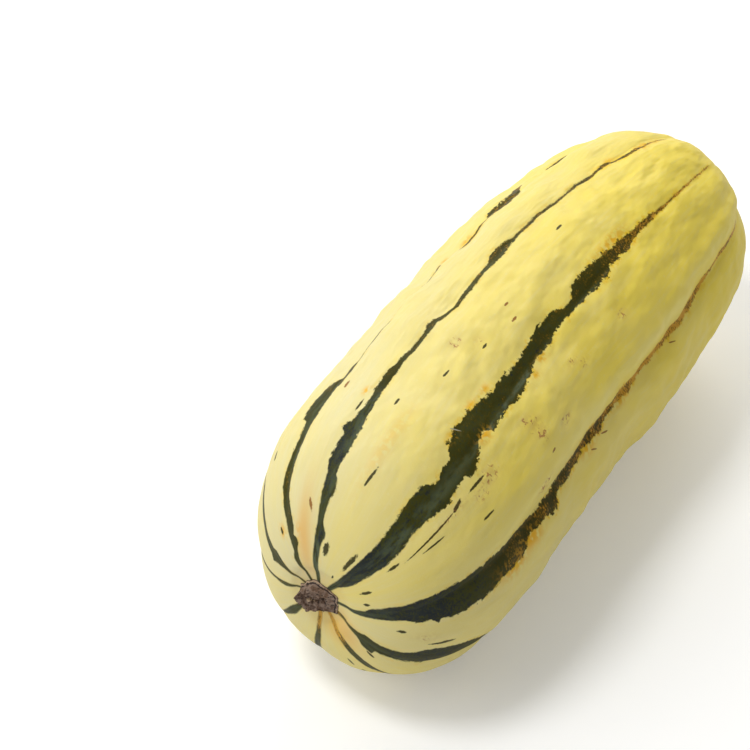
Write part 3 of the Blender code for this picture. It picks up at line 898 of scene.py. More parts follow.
@dataclass(frozen=True)
class RindFinish:
    """Hard, slightly waxy rind: cream turning yellow, with dark stripes, halos, flecks and cork, and with
    painted light, painted shade and painted sheen in some of its colours.

    Sizes on the rind are in millimetres, and the subsurface scale and the bump's distance in metres.
    """

    # Cream is whitened a little as painted sheen on the lit ribs by the stem, and yellow is brightened as
    # painted light towards the far end.
    cream_and_sheen: Colour = (0.75, 0.675, 0.36)
    yellow_and_far_light: Colour = (0.89, 0.71, 0.105)
    pale_streak: Colour = (0.80, 0.74, 0.46)
    # Colour of the painted sheen on the flank rib's shoulder.
    shoulder_sheen_colour: Colour = (0.97, 0.83, 0.25)
    gold: Colour = (0.82, 0.42, 0.01)
    gold_speck: Colour = (0.56, 0.29, 0.015)
    blush: Colour = (0.78, 0.46, 0.13)
    halo: Colour = (0.84, 0.54, 0.015)
    cork: Colour = (0.30, 0.185, 0.085)
    cork_pale: Colour = (0.56, 0.42, 0.22)
    stripe_ages: tuple[tuple[float, Colour], ...] = (
        (0.0, (0.022, 0.027, 0.028)),
        (0.3, (0.052, 0.055, 0.010)),
        (0.5, (0.054, 0.049, 0.005)),
        (0.7, (0.095, 0.070, 0.006)),
        (0.85, (0.32, 0.165, 0.014)),
        (1.0, (0.68, 0.36, 0.04)),
    )
    # Painted highlight: the grey sheen painted along the stripes' furrows.
    painted_grey_sheen: Colour = (0.110, 0.142, 0.082)
    fleck_green: Colour = (0.035, 0.034, 0.008)
    fleck_rust: Colour = (0.30, 0.13, 0.03)
    fleck_grey: Colour = (0.42, 0.40, 0.30)
    vein_rust: Colour = (0.40, 0.15, 0.06)
    roughness: float = 0.50
    roughness_swing: float = 0.07
    cork_roughness: float = 0.35
    specular: float = 0.11
    coat_weight: float = 0.03
    coat_roughness: float = 0.30
    subsurface: float = 0.08
    subsurface_radius: Colour = (1.0, 0.7, 0.25)
    subsurface_scale: float = 2.0 * MM
    neck: float = 66.0
    neck_blend: float = 8.0
    neck_raggedness: float = 0.35
    full_stripe_width: float = 6.0
    least_raggedness: float = 0.2
    old_raggedness: float = 1.8
    edge_step: float = 0.55
    halo_width: float = 1.9
    # Place and half width of the painted grey sheen band from the furrow, before and beyond the neck.
    painted_sheen_centre: tuple[float, float] = (0.6, 1.3)
    painted_sheen_half_width: tuple[float, float] = (2.8, 1.0)
    painted_sheen_strength: float = 0.75
    streak_strength: float = 0.18
    dot_strength: float = 0.12
    stain_strength: float = 0.28
    swell_spacing: float = 6.5
    swell_height: float = 30.0
    neck_swell_height: float = 1.5
    stripe_sinking: float = 0.25
    cork_rise: float = 0.8
    grain_size: float = 0.9
    bump_distance: float = 0.12 * MM
    bump_strength: float = 0.5

    def stripe_edge(self, wiring: Wiring, grain: Socket) -> Socket:
        """Work out how far inside the nearest stripe's ragged edge each place lies.

        Args:
            wiring: where the nodes go.
            grain: place on the rind, along and around.

        Returns:
            The depth inside the edge.
        """
        upper, lower = wiring.number("stripe_upper"), wiring.number("stripe_lower")
        width = wiring.math("ADD", upper, lower)
        by_width = wiring.math("MULTIPLY", width, 1 / self.full_stripe_width)
        by_width = wiring.clamp(by_width, self.least_raggedness, 1.0)
        old = wiring.mask(wiring.number("age"), low=0.5, high=0.8)
        by_age = wiring.spread(old, 1.0, self.old_raggedness)
        beyond_neck = wiring.mask(wiring.parts(grain)[0], low=0.35 * self.neck, high=self.neck)
        by_neck = wiring.spread(beyond_neck, self.neck_raggedness, 1.0)
        looseness = wiring.times(by_width, by_age, by_neck)
        steps = wiring.cells(wiring.drawn_out(grain, 0.6), size=0.7).outputs["Color"]
        ragged = wiring.total(
            wiring.swing(wiring.drawn_out(grain, 0.5), size=2.4, seed=1.0, reach=0.65),
            wiring.swing(grain, size=1.0, seed=2.0, reach=0.60),
            wiring.swing(grain, size=0.45, seed=3.0, reach=0.25),
            wiring.spread(steps, -self.edge_step, self.edge_step),
        )
        return wiring.math("MULTIPLY_ADD", ragged, looseness, wiring.math("MINIMUM", upper, lower))

    def stripe_colour(self, wiring: Wiring, grain: Socket) -> Socket:
        """Work out the stripes' colour, with their age, mottles and a painted grey sheen, a highlight
        painted along the furrow.

        Args:
            wiring: where the nodes go.
            grain: place on the rind, along and around.

        Returns:
            The colour.
        """
        mottle = wiring.swing(wiring.drawn_out(grain, 0.6), size=1.5, seed=4.0, reach=0.22)
        freckle = wiring.swing(grain, size=0.55, seed=5.0, reach=0.30)
        colour = wiring.ramp(wiring.total(wiring.number("age"), mottle, freckle), self.stripe_ages)
        along = wiring.parts(grain)[0]
        beyond_neck = wiring.mask(along, self.neck - self.neck_blend, self.neck + self.neck_blend)
        centre = wiring.spread(beyond_neck, *self.painted_sheen_centre)
        off = wiring.math("ABSOLUTE", wiring.math("SUBTRACT", wiring.number("below_furrow"), centre))
        half_width = wiring.spread(beyond_neck, *self.painted_sheen_half_width)
        band = wiring.mask(wiring.math("DIVIDE", off, half_width), low=1.1, high=0.3)
        clouds = wiring.patches(wiring.drawn_out(grain, 0.4), size=1.6, seed=6.0, low=0.35, high=0.60)
        # Painted highlight: a grey sheen band by the furrow, broken into clouds.
        bloom = wiring.times(band, clouds, wiring.number("bloom"), self.painted_sheen_strength)
        return wiring.mix(wiring.math("MINIMUM", bloom, 1.0), colour, self.painted_grey_sheen)

    def flesh_tone(self, wiring: Wiring, grain: Socket) -> Socket:
        """Work out the rind's colour between the stripes, streaked along the fruit and dotted, with painted
        light and shade in its yellowing and a painted sheen band on the flank.

        Args:
            wiring: where the nodes go.
            grain: place on the rind, along and around.

        Returns:
            The colour.
        """
        # The yellowing mixes real ripening with painted light: a whiter cream by the stem and a brighter
        # far end.
        ripeness = wiring.total(
            wiring.number("ripeness"),
            wiring.swing(grain, size=21.0, seed=8.0, reach=0.16),
            wiring.swing(wiring.drawn_out(grain, 0.12), size=2.4, seed=9.0, reach=0.10),
        )
        colour = wiring.mix(wiring.clamp(ripeness, 0.0, 1.0), self.cream_and_sheen, self.yellow_and_far_light)
        streaks = wiring.noise(wiring.drawn_out(grain, 0.07), size=0.9, seed=10.0, detail=3.0)
        streak = wiring.times(wiring.mask(streaks, low=0.45, high=0.8), self.streak_strength)
        colour = wiring.mix(streak, colour, self.pale_streak)
        dots = wiring.cells(wiring.drawn_out(grain, 0.8), size=1.5).outputs
        chosen = wiring.math("GREATER_THAN", dots["Color"], 0.45)
        dot = wiring.times(wiring.mask(dots["Distance"], low=0.28, high=0.12), chosen, self.dot_strength)
        colour = wiring.mix(dot, colour, self.pale_streak)
        # Painted highlight: the pale sheen band along the flank rib's shoulder.
        return wiring.mix(wiring.number("pale"), colour, self.shoulder_sheen_colour)

    def flecked(self, wiring: Wiring, grain: Socket, colour: Socket) -> Socket:
        """Lay the two layers of small marks over a colour.

        Args:
            wiring: where the nodes go.
            grain: place on the rind, along and around.
            colour: what the marks lie on.

        Returns:
            The colour with the marks.
        """
        tints = (self.fleck_green, self.fleck_rust, self.fleck_grey)
        stops = tuple(zip((tint.value for tint in FleckTint), tints))
        for layer in FLECK_LAYERS:
            u, v, near = wiring.parts(wiring.vector(layer))
            out = wiring.total(wiring.math("MULTIPLY", u, u), wiring.math("MULTIPLY", v, v))
            out = wiring.math("SQRT", out)
            out = wiring.math("ADD", out, wiring.swing(grain, size=0.8, seed=7.0, reach=0.33))
            marked = wiring.math("GREATER_THAN", near, 0.99)
            cover = wiring.times(wiring.mask(out, low=1.15, high=0.75), marked, 0.95)
            colour = wiring.mix(cover, colour, wiring.ramp(wiring.number(f"{layer}_tint"), stops))
        return colour

    def scratched(self, wiring: Wiring, grain: Socket, patchy: Socket, colour: Socket) -> Socket:
        """Lay rusty veins and the stain round them over a colour.

        Args:
            wiring: where the nodes go.
            grain: place on the rind, along and around.
            patchy: mask of soft patches all over the rind.
            colour: what the veins lie on.

        Returns:
            The colour with the veins.
        """
        wander = wiring.noise(grain, size=2.4, seed=15.0, detail=3.0)
        away = wiring.math("ABSOLUTE", wiring.math("SUBTRACT", wander, 0.5))
        broken = wiring.patches(grain, size=1.3, seed=19.0, low=0.44, high=0.54)
        rust = wiring.number("rust")
        lines = wiring.mask(away, low=0.060, high=0.012)
        veins = wiring.times(lines, wiring.mask(rust, low=0.2, high=0.6), broken, 0.85)
        stain = wiring.times(rust, patchy, self.stain_strength)
        return wiring.mix(wiring.math("MAXIMUM", veins, stain), colour, self.vein_rust)

    def swells(self, wiring: Wiring, grain: Socket) -> Socket:
        """Work out the soft swells that the shading adds to the mesh's own, calmer by the stem.

        Args:
            wiring: where the nodes go.
            grain: place on the rind, along and around.

        Returns:
            The height, as a multiple of the bump's distance.
        """
        swells = wiring.noise(wiring.drawn_out(grain, 0.5), self.swell_spacing, seed=21.0)
        beyond_neck = wiring.mask(wiring.parts(grain)[0], low=0.3 * self.neck, high=self.neck)
        return wiring.times(swells, wiring.spread(beyond_neck, self.neck_swell_height, self.swell_height))

    def material(self) -> bpy.types.Material:
        """Lay the rind's colours one over the other and finish its surface.

        Returns:
            The rind's material.
        """
        material, wiring, shader = new_material("delicata_rind")
        grain = wiring.vector("grain")
        gold = wiring.number("gold")
        patchy = wiring.patches(grain, size=1.6, seed=11.0, low=0.36, high=0.56)
        golden = wiring.math("MINIMUM", wiring.times(gold, patchy), 0.9)
        colour = wiring.mix(golden, self.flesh_tone(wiring, grain), self.gold)
        colour = wiring.mix(wiring.number("blush"), colour, self.blush)

        edge = self.stripe_edge(wiring, grain)
        here_and_there = wiring.patches(grain, size=4.5, seed=16.0, low=0.44, high=0.60)
        beside = wiring.mask(edge, low=-self.halo_width, high=0.0)
        fringe = wiring.times(beside, wiring.number("halo"), patchy, here_and_there)
        colour = wiring.mix(fringe, colour, self.halo)
        stripe = wiring.mask(edge, low=-0.30, high=0.22)
        colour = wiring.mix(stripe, colour, self.stripe_colour(wiring, grain))
        speckle = wiring.patches(grain, size=0.9, seed=14.0, low=0.50, high=0.60)
        colour = wiring.mix(wiring.times(gold, speckle, stripe, 0.9), colour, self.gold_speck)
        colour = self.flecked(wiring, grain, colour)
        colour = self.scratched(wiring, grain, patchy, colour)

        corky = wiring.total(wiring.number("cork"), wiring.swing(grain, size=1.6, seed=12.0, reach=0.45))
        corky = wiring.mask(corky, low=0.42, high=0.62)
        cork_shade = wiring.mix(wiring.noise(grain, size=0.8, seed=13.0), self.cork, self.cork_pale)
        colour = wiring.mix(corky, colour, cork_shade)

        surface = GrownSurface.place(wiring, grain, self.grain_size).outputs
        mottle = surface["Mottle"]
        low, high = self.roughness - self.roughness_swing, self.roughness + self.roughness_swing
        roughness = wiring.total(wiring.spread(mottle, low, high), wiring.times(corky, self.cork_roughness))
        smooth = wiring.math("SUBTRACT", 1.0, corky)
        height = wiring.total(
            surface["Height"],
            wiring.times(stripe, -self.stripe_sinking),
            wiring.times(corky, self.cork_rise),
            self.swells(wiring, grain),
        )
        wiring.feed(shader, {
            "Base Color": colour,
            "Roughness": roughness,
            "Normal": wiring.bump(height, self.bump_distance, self.bump_strength),
            "Specular IOR Level": self.specular,
            "Coat Weight": wiring.times(smooth, wiring.spread(mottle, 0.5, 1.5), self.coat_weight),
            "Coat Roughness": self.coat_roughness,
            "Subsurface Weight": self.subsurface,
            "Subsurface Radius": self.subsurface_radius,
            "Subsurface Scale": self.subsurface_scale,
        })
        return material


def make_piece(
    name: str, points: np.ndarray, faces: list[tuple[int, ...]], attributes: dict[str, np.ndarray]
) -> bpy.types.Object:
    """Make one smooth-shaded mesh object.

    Args:
        name: the piece's name.
        points: its vertices, one row each.
        faces: its faces, as vertex numbers.
        attributes: numbers or vectors for each vertex, which the materials read.

    Returns:
        The new object, in the scene.
    """
    mesh = bpy.data.meshes.new(name)
    mesh.from_pydata(points.tolist(), [], faces)
    mesh.shade_smooth()
    for key, values in attributes.items():
        flat = np.ascontiguousarray(values, dtype=np.float32).ravel()
        if values.ndim == 2:
            mesh.attributes.new(key, "FLOAT_VECTOR", "POINT").data.foreach_set("vector", flat)
        else:
            mesh.attributes.new(key, "FLOAT", "POINT").data.foreach_set("value", flat)
    piece = bpy.data.objects.new(name, mesh)
    bpy.context.scene.collection.objects.link(piece)
    return piece


def ring_faces(rings: int, columns: int, first: int) -> list[tuple[int, int, int, int]]:
    """List the four-sided faces between closed rings of vertices.

    Args:
        rings: how many rings there are.
        columns: how many vertices each ring has.
        first: the number of the first ring's first vertex.

    Returns:
        The faces, as vertex numbers.
    """
    faces = []
    for ring in range(rings - 1):
        for column in range(columns):
            near = first + ring * columns
            far = near + columns
            after = (column + 1) % columns
            faces.append((near + column, near + after, far + after, far + column))
    return faces


def cap_faces(pole: int, first: int, columns: int, flip: bool) -> list[tuple[int, int, int]]:
    """List the three-sided faces between a pole and the closed ring of vertices beside it.

    Args:
        pole: the pole's vertex number.
        first: the number of the ring's first vertex.
        columns: how many vertices the ring has.
        flip: whether the faces are turned over.

    Returns:
        The faces, as vertex numbers.
    """
    faces = []
    for column in range(columns):
        after = (column + 1) % columns
        pair = (first + after, first + column) if flip else (first + column, first + after)
        faces.append((pole, *pair))
    return faces


@dataclass
class Rind:
    """The whole fruit's skin, with the marks on it written into the mesh for the material to read.

    Radii, widths, spreads and margins on the skin are in millimetres, and shifts and depths in metres.
    """

    form: SquashForm = field(default_factory=SquashForm)
    finish: RindFinish = field(default_factory=RindFinish)
    segments_per_rib: int = 36
    rings: int = 248
    ring_crowding: float = 0.12
    form_shift: tuple[float, float] = (2.5175 * MM, 0.6136 * MM)
    knee: float = 0.9 * MM
    crease_depth: float = 1.2 * MM
    crease_spread: float = 4.5
    crease_start: tuple[float, float] = (0.12, 0.32)
    crease_end: tuple[float, float] = (0.82, 0.96)
    far: float = 40.0
    fleck_margin: float = 2.6
    off_fleck: tuple[float, float, float] = (9.0, 9.0, 0.0)
    # Each rib's yellowing at the stem end: partly real, and partly painted shade that sets the flank ribs
    # deeper or paler.
    stem_ripeness_and_shade: tuple[float, ...] = (0.50, 0.28, -0.02, 0.0, 0.10, 0.20, 0.30, 0.35, 0.35, 0.22)
    # Yellowing towards the blossom end, which with the brightened yellow is partly painted light.
    ripening_and_far_light: float = 0.90
    blush_strength: float = 0.8
    stem_blush: float = 0.16
    stem_blush_radii: tuple[float, float] = (7.0, 12.0)
    cork_radii: tuple[float, float] = (2.0, 5.2)
    hidden_flecks: int = 70
    hidden_places: tuple[float, float] = (0.06, 0.93)
    hidden_angles: tuple[float, float] = (50.0, 250.0)
    hidden_lengths: tuple[float, float] = (0.003, 0.02)
    hidden_slants: tuple[float, float] = (-1.0, 1.0)
    hidden_widths: tuple[float, float] = (0.6, 1.1)
    fleck_seed: int = 17

    def __post_init__(self) -> None:
        """Lay out the mesh's rings and columns, with each vertex's place on the fruit."""
        self.columns = self.segments_per_rib * len(self.form.furrow_angles)
        even = np.arange(1, self.rings) / self.rings
        rows = even - self.ring_crowding * np.sin(2 * math.pi * even) / (2 * math.pi)
        column = np.arange(self.columns)
        poles = np.array([0.0, 1.0])
        self.fractions = np.concatenate([np.repeat(rows, self.columns), poles])
        turn = np.concatenate([np.tile(column, self.rings - 1), [0, 0]])
        self.ribs = turn // self.segments_per_rib
        self.across = (turn % self.segments_per_rib) / self.segments_per_rib
        self.angles = self.form.angle(self.fractions, self.ribs, self.across)
        self.station, _, radius, run = self.form.profile(self.fractions)
        self.radius, self.run = radius / MM, run / MM

    def flank_crease(self) -> np.ndarray:
        """Work out the sharp crease along the flank's furrow.

        Returns:
            How far each vertex sinks, in metres.
        """
        furrow = self.form.furrow_fan(self.station)[0]
        off = turn_gap(furrow, self.angles) * DEGREE * self.radius
        reach = smooth_step(*self.crease_start, self.fractions)
        reach = reach * smooth_fall(*self.crease_end, self.fractions)
        return self.crease_depth * reach * hump(off, self.crease_spread)

    def surface(self) -> np.ndarray:
        """Work out the mesh's vertices, fitted to the solid fruit's box and cut off level at its rest.

        Returns:
            The vertices, one row each.
        """
        points = self.form.points(self.fractions, self.ribs, self.across)
        crease = self.flank_crease()
        points[:, 1] -= crease * np.sin(np.radians(self.angles))
        points[:, 2] -= crease * np.cos(np.radians(self.angles))
        low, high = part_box("fruit")
        points += np.array([self.form_shift[0], self.form_shift[1], self.form.rest_depth])
        settle_in_box(points, low, high, (0, 1), self.knee)
        fit_to_box(points, low, high, (0, 1))
        standing = points[:, 2] > high.z / 2
        tops = points[standing]
        settle_in_box(tops, low, high, (2,), self.knee)
        points[standing] = tops
        points[:, 2] = np.maximum(points[:, 2] * (high.z / points[:, 2].max()), low.z)
        return points

    def faces(self) -> list[tuple[int, ...]]:
        """List the mesh's faces, with normals facing out.

        Returns:
            The faces, as vertex numbers.
        """
        last_ring = (self.rings - 2) * self.columns
        stem_pole = (self.rings - 1) * self.columns
        faces = [tuple(reversed(face)) for face in ring_faces(self.rings - 1, self.columns, 0)]
        faces += cap_faces(stem_pole, 0, self.columns, flip=False)
        faces += cap_faces(stem_pole + 1, last_ring, self.columns, flip=True)
        return faces

    def stripe_marks(self) -> dict[str, np.ndarray]:
        """Measure how far each vertex is from the nearest stripe's edges and furrow, and read its tones.

        Returns:
            The attributes by name; distances are in millimetres.
        """
        nearest = np.where(self.across < 0.5, self.ribs, self.ribs + 1) % len(STRIPES)
        scale = DEGREE * self.radius
        keys = ("stripe_upper", "stripe_lower", "below_furrow", "age", "bloom", "halo")
        marks = {key: np.zeros_like(self.fractions) for key in keys}
        fan = self.form.furrow_fan(self.station)
        for number, stripe in enumerate(STRIPES):
            here = nearest == number
            place = self.fractions[here]
            upper, lower = stripe.edges_at(place)
            angle = self.angles[here]
            marks["stripe_upper"][here] = turn_gap(upper, angle) * scale[here]
            marks["stripe_lower"][here] = -turn_gap(lower, angle) * scale[here]
            marks["below_furrow"][here] = turn_gap(fan[number][here], angle) * scale[here]
            # Besides age and halo, each stripe gives the strength of its painted grey sheen.
            for key, steps in (("age", stripe.ages), ("bloom", stripe.bloom), ("halo", stripe.halo)):
                marks[key][here] = read_steps(steps, place)
        rib_middle = self.across == 0.5
        for key in ("stripe_upper", "stripe_lower"):
            marks[key][rib_middle] = -self.far
        marks["halo"][rib_middle] = 0.0
        return marks

    def soft_marks(self, patches: tuple[Patch, ...]) -> np.ndarray:
        """Work out how strong soft colour patches are at each vertex.

        Args:
            patches: the patches.

        Returns:
            The strength of the strongest patch there.
        """
        strength = np.zeros_like(self.fractions)
        whole = self.run.max()
        for patch in patches:
            along = (self.fractions - patch.place) * whole
            across = turn_gap(patch.angle, self.angles) * DEGREE * self.radius
            spot = patch.strength * hump(along, patch.half_length) * hump(across, patch.half_width)
            strength = np.maximum(strength, spot)
        return strength

    def random_flecks(self) -> list[Fleck]:
        """Draw seeded flecks for the back and the underside.

        Returns:
            The flecks.
        """
        draw = random.Random(self.fleck_seed)
        flecks = []
        for _ in range(self.hidden_flecks):
            place = draw.uniform(*self.hidden_places)
            angle = draw.uniform(*self.hidden_angles)
            length = draw.uniform(*self.hidden_lengths)
            tint = draw.choice((FleckTint.GREEN, FleckTint.GREEN, FleckTint.RUST))
            end = (place + length, angle + draw.uniform(*self.hidden_slants))
            flecks.append(Fleck((place, angle), end, draw.uniform(*self.hidden_widths), tint))
        return flecks

    def fleck_marks(self) -> dict[str, np.ndarray]:
        """Work out each fleck's own coordinates on the vertices around it.

        Returns:
            The coordinates, which are 1 at the fleck's edge, and the tints, for each layer of flecks.
        """
        marks = {layer: np.full((len(self.fractions), 3), self.off_fleck) for layer in FLECK_LAYERS}
        tints = {layer: np.zeros_like(self.fractions) for layer in FLECK_LAYERS}
        whole = self.run.max()
        for fleck in (*FLECKS, *self.random_flecks()):
            middle = ((fleck.start[0] + fleck.end[0]) / 2, (fleck.start[1] + fleck.end[1]) / 2)
            radius = float(np.interp(middle[0], self.fractions[:-2], self.radius[:-2]))
            degree = DEGREE * radius
            run = (fleck.end[0] - fleck.start[0]) * whole
            rise = (fleck.end[1] - fleck.start[1]) * degree
            length = math.hypot(run, rise)
            along = (self.fractions - middle[0]) * whole
            across = -turn_gap(middle[1], self.angles) * degree
            ahead = (along * run + across * rise) / length
            aside = (across * run - along * rise) / length
            half_length = (length + fleck.width) / 2
            half_width = fleck.width / 2
            near = np.abs(ahead) < half_length + self.fleck_margin
            near &= np.abs(aside) < half_width + self.fleck_margin
            # A fleck takes the first layer that is free all round it, and is left out if neither is.
            free = [layer for layer in FLECK_LAYERS if not marks[layer][near, 2].any()]
            for layer in free[:1]:
                own = [ahead[near] / half_length, aside[near] / half_width, np.ones(near.sum())]
                marks[layer][near] = np.column_stack(own)
                tints[layer][near] = fleck.tint.value
        return marks | {f"{layer}_tint": tints[layer] for layer in FLECK_LAYERS}

    def rib_ripeness_and_shade(self) -> np.ndarray:
        """Work out the ripeness at the stem end, which each rib has of its own; on the flank ribs it is
        partly painted shade.

        Returns:
            The ripeness, with its painted shade, at each vertex, running smoothly from rib to rib.
        """
        here, before, after = (np.roll(self.stem_ripeness_and_shade, shift)[self.ribs] for shift in (0, 1, -1))
        from_before = smooth_fall(0.0, 0.5, self.across) / 2
        from_after = smooth_step(0.5, 1.0, self.across) / 2
        return here + (before - here) * from_before + (after - here) * from_after

    def attributes(self) -> dict[str, np.ndarray]:
        """Gather everything that the rind's material reads from the mesh.

        Returns:
            The attributes by name.
        """
        even_turn = (self.ribs + self.across) / len(self.form.furrow_angles) * 2 * math.pi
        around = self.form.waist_radius / MM
        by_stem = smooth_fall(*self.stem_blush_radii, self.radius) * (self.station < 0)
        blush = self.soft_marks(BLUSH_PATCHES) * self.blush_strength
        return {
            "grain": np.column_stack([self.run, around * np.cos(even_turn), around * np.sin(even_turn)]),
            # Partly real ripeness and partly painted light and shade.
            "ripeness": self.rib_ripeness_and_shade() + self.ripening_and_far_light * self.fractions,
            "gold": self.soft_marks(GOLD_PATCHES),
            "blush": np.maximum(blush, self.stem_blush * by_stem),
            "rust": self.soft_marks(RUST_PATCHES),
            # Painted highlight band along the flank rib's shoulder.
            "pale": self.soft_marks(SHOULDER_SHEEN_PATCHES),
            "cork": smooth_fall(*self.cork_radii, self.radius) * (self.station > 0),
            **self.stripe_marks(),
            **self.fleck_marks(),
        }

    def build(self) -> bpy.types.Object:
        """Build and dress the rind, which stands for the solid fruit.

        Returns:
            The piece.
        """
        piece = make_piece("rind", self.surface(), self.faces(), self.attributes())
        piece.data.materials.append(self.finish.material())
        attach(piece, "root")
        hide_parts("fruit")
        return piece


@dataclass(frozen=True)
class DryStemFinish:
    """Dry, corky stem: purplish grey-brown, pitted, with a tan patch, a dark pith and a dark rim."""

    brown: Colour = (0.135, 0.074, 0.042)
    grey: Colour = (0.275, 0.190, 0.140)
    tan: Colour = (0.50, 0.36, 0.22)
    dark: Colour = (0.022, 0.014, 0.011)
    roughness: float = 0.85
    roughness_swing: float = 0.1
    grain_size: float = 0.45
    pit_depth: float = 0.8
    bump_distance: float = 0.4 * MM

    def material(self) -> bpy.types.Material:
        """Lay the stub's colours one over the other and finish its surface.

        Returns:
            The stub's material.
        """
        material, wiring, shader = new_material("dry_squash_stem")
        place = wiring.vector("stub_place")
        patches = wiring.patches(place, size=1.5, seed=1.0, low=0.40, high=0.62)
        colour = wiring.mix(patches, self.brown, self.grey)
        grains = wiring.patches(place, size=0.55, seed=2.0, low=0.50, high=0.66)
        colour = wiring.mix(wiring.times(grains, 0.55), colour, self.grey)
        tan = wiring.total(wiring.number("tan"), wiring.swing(place, size=0.7, seed=3.0, reach=0.30))
        colour = wiring.mix(wiring.times(wiring.mask(tan, low=0.45, high=0.75), 0.85), colour, self.tan)
        pits = wiring.patches(place, size=0.8, seed=4.0, low=0.56, high=0.68)
        colour = wiring.mix(wiring.times(pits, 0.75), colour, self.dark)
        dark = wiring.total(wiring.number("dark"), wiring.swing(place, size=0.6, seed=5.0, reach=0.35))
        colour = wiring.mix(wiring.mask(dark, low=0.45, high=0.80), colour, self.dark)
        surface = GrownSurface.place(wiring, place, self.grain_size).outputs
        low, high = self.roughness - self.roughness_swing, self.roughness + self.roughness_swing
        height = wiring.total(surface["Height"], wiring.times(pits, -self.pit_depth))
        wiring.feed(shader, {
            "Base Color": colour,
            "Roughness": wiring.spread(surface["Mottle"], low, high),
            "Normal": wiring.bump(height, self.bump_distance, strength=1.0),
        })
        return material


@dataclass
class StemStub:
    """The dry stub of the stem: ridged, flared at its base and snapped off short and aslant."""

    finish: DryStemFinish = field(default_factory=DryStemFinish)
    base_radius: float = 6.2 * MM
    end_radius: float = 4.5 * MM
    lean: tuple[float, float, float] = (-3.2 * MM, 1.2 * MM, -0.1 * MM)
    lean_power: float = 1.5
    break_facing: tuple[float, float, float] = (-1.0, -0.4, 0.0)
    height_to_width: float = 0.86
    flare_power: float = 1.8
    ridges: int = 5
    ridge_height: float = 0.06
    fine_ridge_height: float = 0.035
    fine_ridge_turn: float = 0.8
    fibres: tuple[tuple[float, float], ...] = ((4.0, 0.05), (11.0, 0.035))
    end_hollow: float = 0.6 * MM
    hollow_power: float = 0.7
    ragged_height: float = 0.8 * MM
    ragged_closeness: tuple[float, float] = (2.2, 3.0)
    splinters: tuple[tuple[float, float], ...] = ((3.7, 0.55 * MM), (9.0, 0.33 * MM))
    pith_place: tuple[float, float] = (-1.5 * MM, 1.2 * MM)
    pith_radius: float = 0.8 * MM
    pith_depth: float = 1.0 * MM
    tan_place: tuple[float, float] = (1.6 * MM, 0.2 * MM)
    tan_half_size: tuple[float, float] = (1.8 * MM, 0.8 * MM)
    collar: tuple[float, float] = (0.10, 0.05)
    dark_rings: tuple[tuple[float, float], ...] = ((0.24, 0.08), (0.0, 0.04))
    ring_strength: float = 0.9
    rim_strength: float = 0.50
    rim_height: tuple[float, float] = (0.70, 1.0)
    rim_spread: tuple[float, float] = (0.80, 1.0)
    columns: int = 200
    rows: int = 30
    end_rings: int = 26

    def section(self, height: float) -> tuple[Vector, Vector, Vector, Vector]:
        """Set out one section of the stub.

        Args:
            height: how far up the stub it is, from 0 to 1.

        Returns:
            Its centre, its facing and its two cross directions.
        """
        lean = Vector(self.lean)
        aside = height**self.lean_power
        centre = Vector((lean.x * height, lean.y * aside, lean.z * aside))
        facing = Vector((-1, 0, 0)).lerp(Vector(self.break_facing).normalized(), height).normalized()
        side = facing.cross(Vector((0, 0, 1))).normalized()
        return centre, facing, side, facing.cross(side)

    def pith(self, place: Vector) -> float:
        """Return how much of the dark pith is at a place, from 0 to 1."""
        away = math.hypot(place.y - self.pith_place[0], place.z - self.pith_place[1])
        return float(hump(away, self.pith_radius))

    def point(self, height: float, spread: float, turn: float) -> Vector:
        """Work out one place on the stub.

        Args:
            height: how far up the stub it is, from 0 to 1.
            spread: how far out from the middle it is, 1 on the side and down to 0 on the broken end.
            turn: its angle about the stub, in radians.

        Returns:
            The place, before it is fitted to the solid.
        """
        centre, facing, side, up = self.section(height)
        flare = (1 - height) ** self.flare_power
        radius = self.end_radius + (self.base_radius - self.end_radius) * flare
        cos, sin = math.cos(turn), math.sin(turn)
        ridges = self.ridge_height * math.cos(self.ridges * turn)
        ridges += self.fine_ridge_height * math.cos(2 * self.ridges * turn + self.fine_ridge_turn)
        round_place = Vector((cos, sin, 0.5 * height))
        ridges += sum(rise * noise.noise(round_place * closeness) for closeness, rise in self.fibres)
        reach = radius * spread * (1 + ridges)
        place = centre + reach * (cos * side + self.height_to_width * sin * up)
        if height >= 1.0:
            face_place = Vector((spread * cos, spread * sin, 0.0))
            close_turn, close_spread = self.ragged_closeness
            ragged_place = Vector((close_turn * cos, close_turn * sin, close_spread * spread))
            rise = self.ragged_height * noise.noise(ragged_place)
            rise += sum(tall * noise.noise(face_place * close) for close, tall in self.splinters)
            rise -= self.end_hollow * (1 - spread) ** self.hollow_power
            place += facing * (rise - self.pith_depth * self.pith(place))
        return place

    def marks(
        self, rows: list[tuple[float, float]], turns: np.ndarray, places: np.ndarray
    ) -> dict[str, np.ndarray]:
        """Work out the tan patch and the dark rim, pith and low edge at each vertex.

        Args:
            rows: height and spread of each ring of vertices.
            turns: the angle of each vertex in a ring.
            places: the vertices before they are fitted to the solid.

        Returns:
            The attributes that the material reads.
        """
        tan, dark = [], []
        for number, place in enumerate(places):
            height, spread = rows[min(number // len(turns), len(rows) - 1)]
            on_end = height >= 1.0
            patch = hump(place[1] - self.tan_place[0], self.tan_half_size[0])
            patch *= hump(place[2] - self.tan_place[1], self.tan_half_size[1])
            collar = self.ring_strength * hump(height - self.collar[0], self.collar[1])
            tan.append(max(patch * on_end, collar))
            rim = self.rim_strength * smooth_step(*self.rim_height, height)
            rim *= smooth_step(*self.rim_spread, spread)
            rings = sum(hump(height - middle, reach) for middle, reach in self.dark_rings)
            dark.append(max(rim, self.pith(Vector(place)) * on_end, self.ring_strength * rings))
        return {"stub_place": places / MM, "tan": np.array(tan), "dark": np.array(dark)}

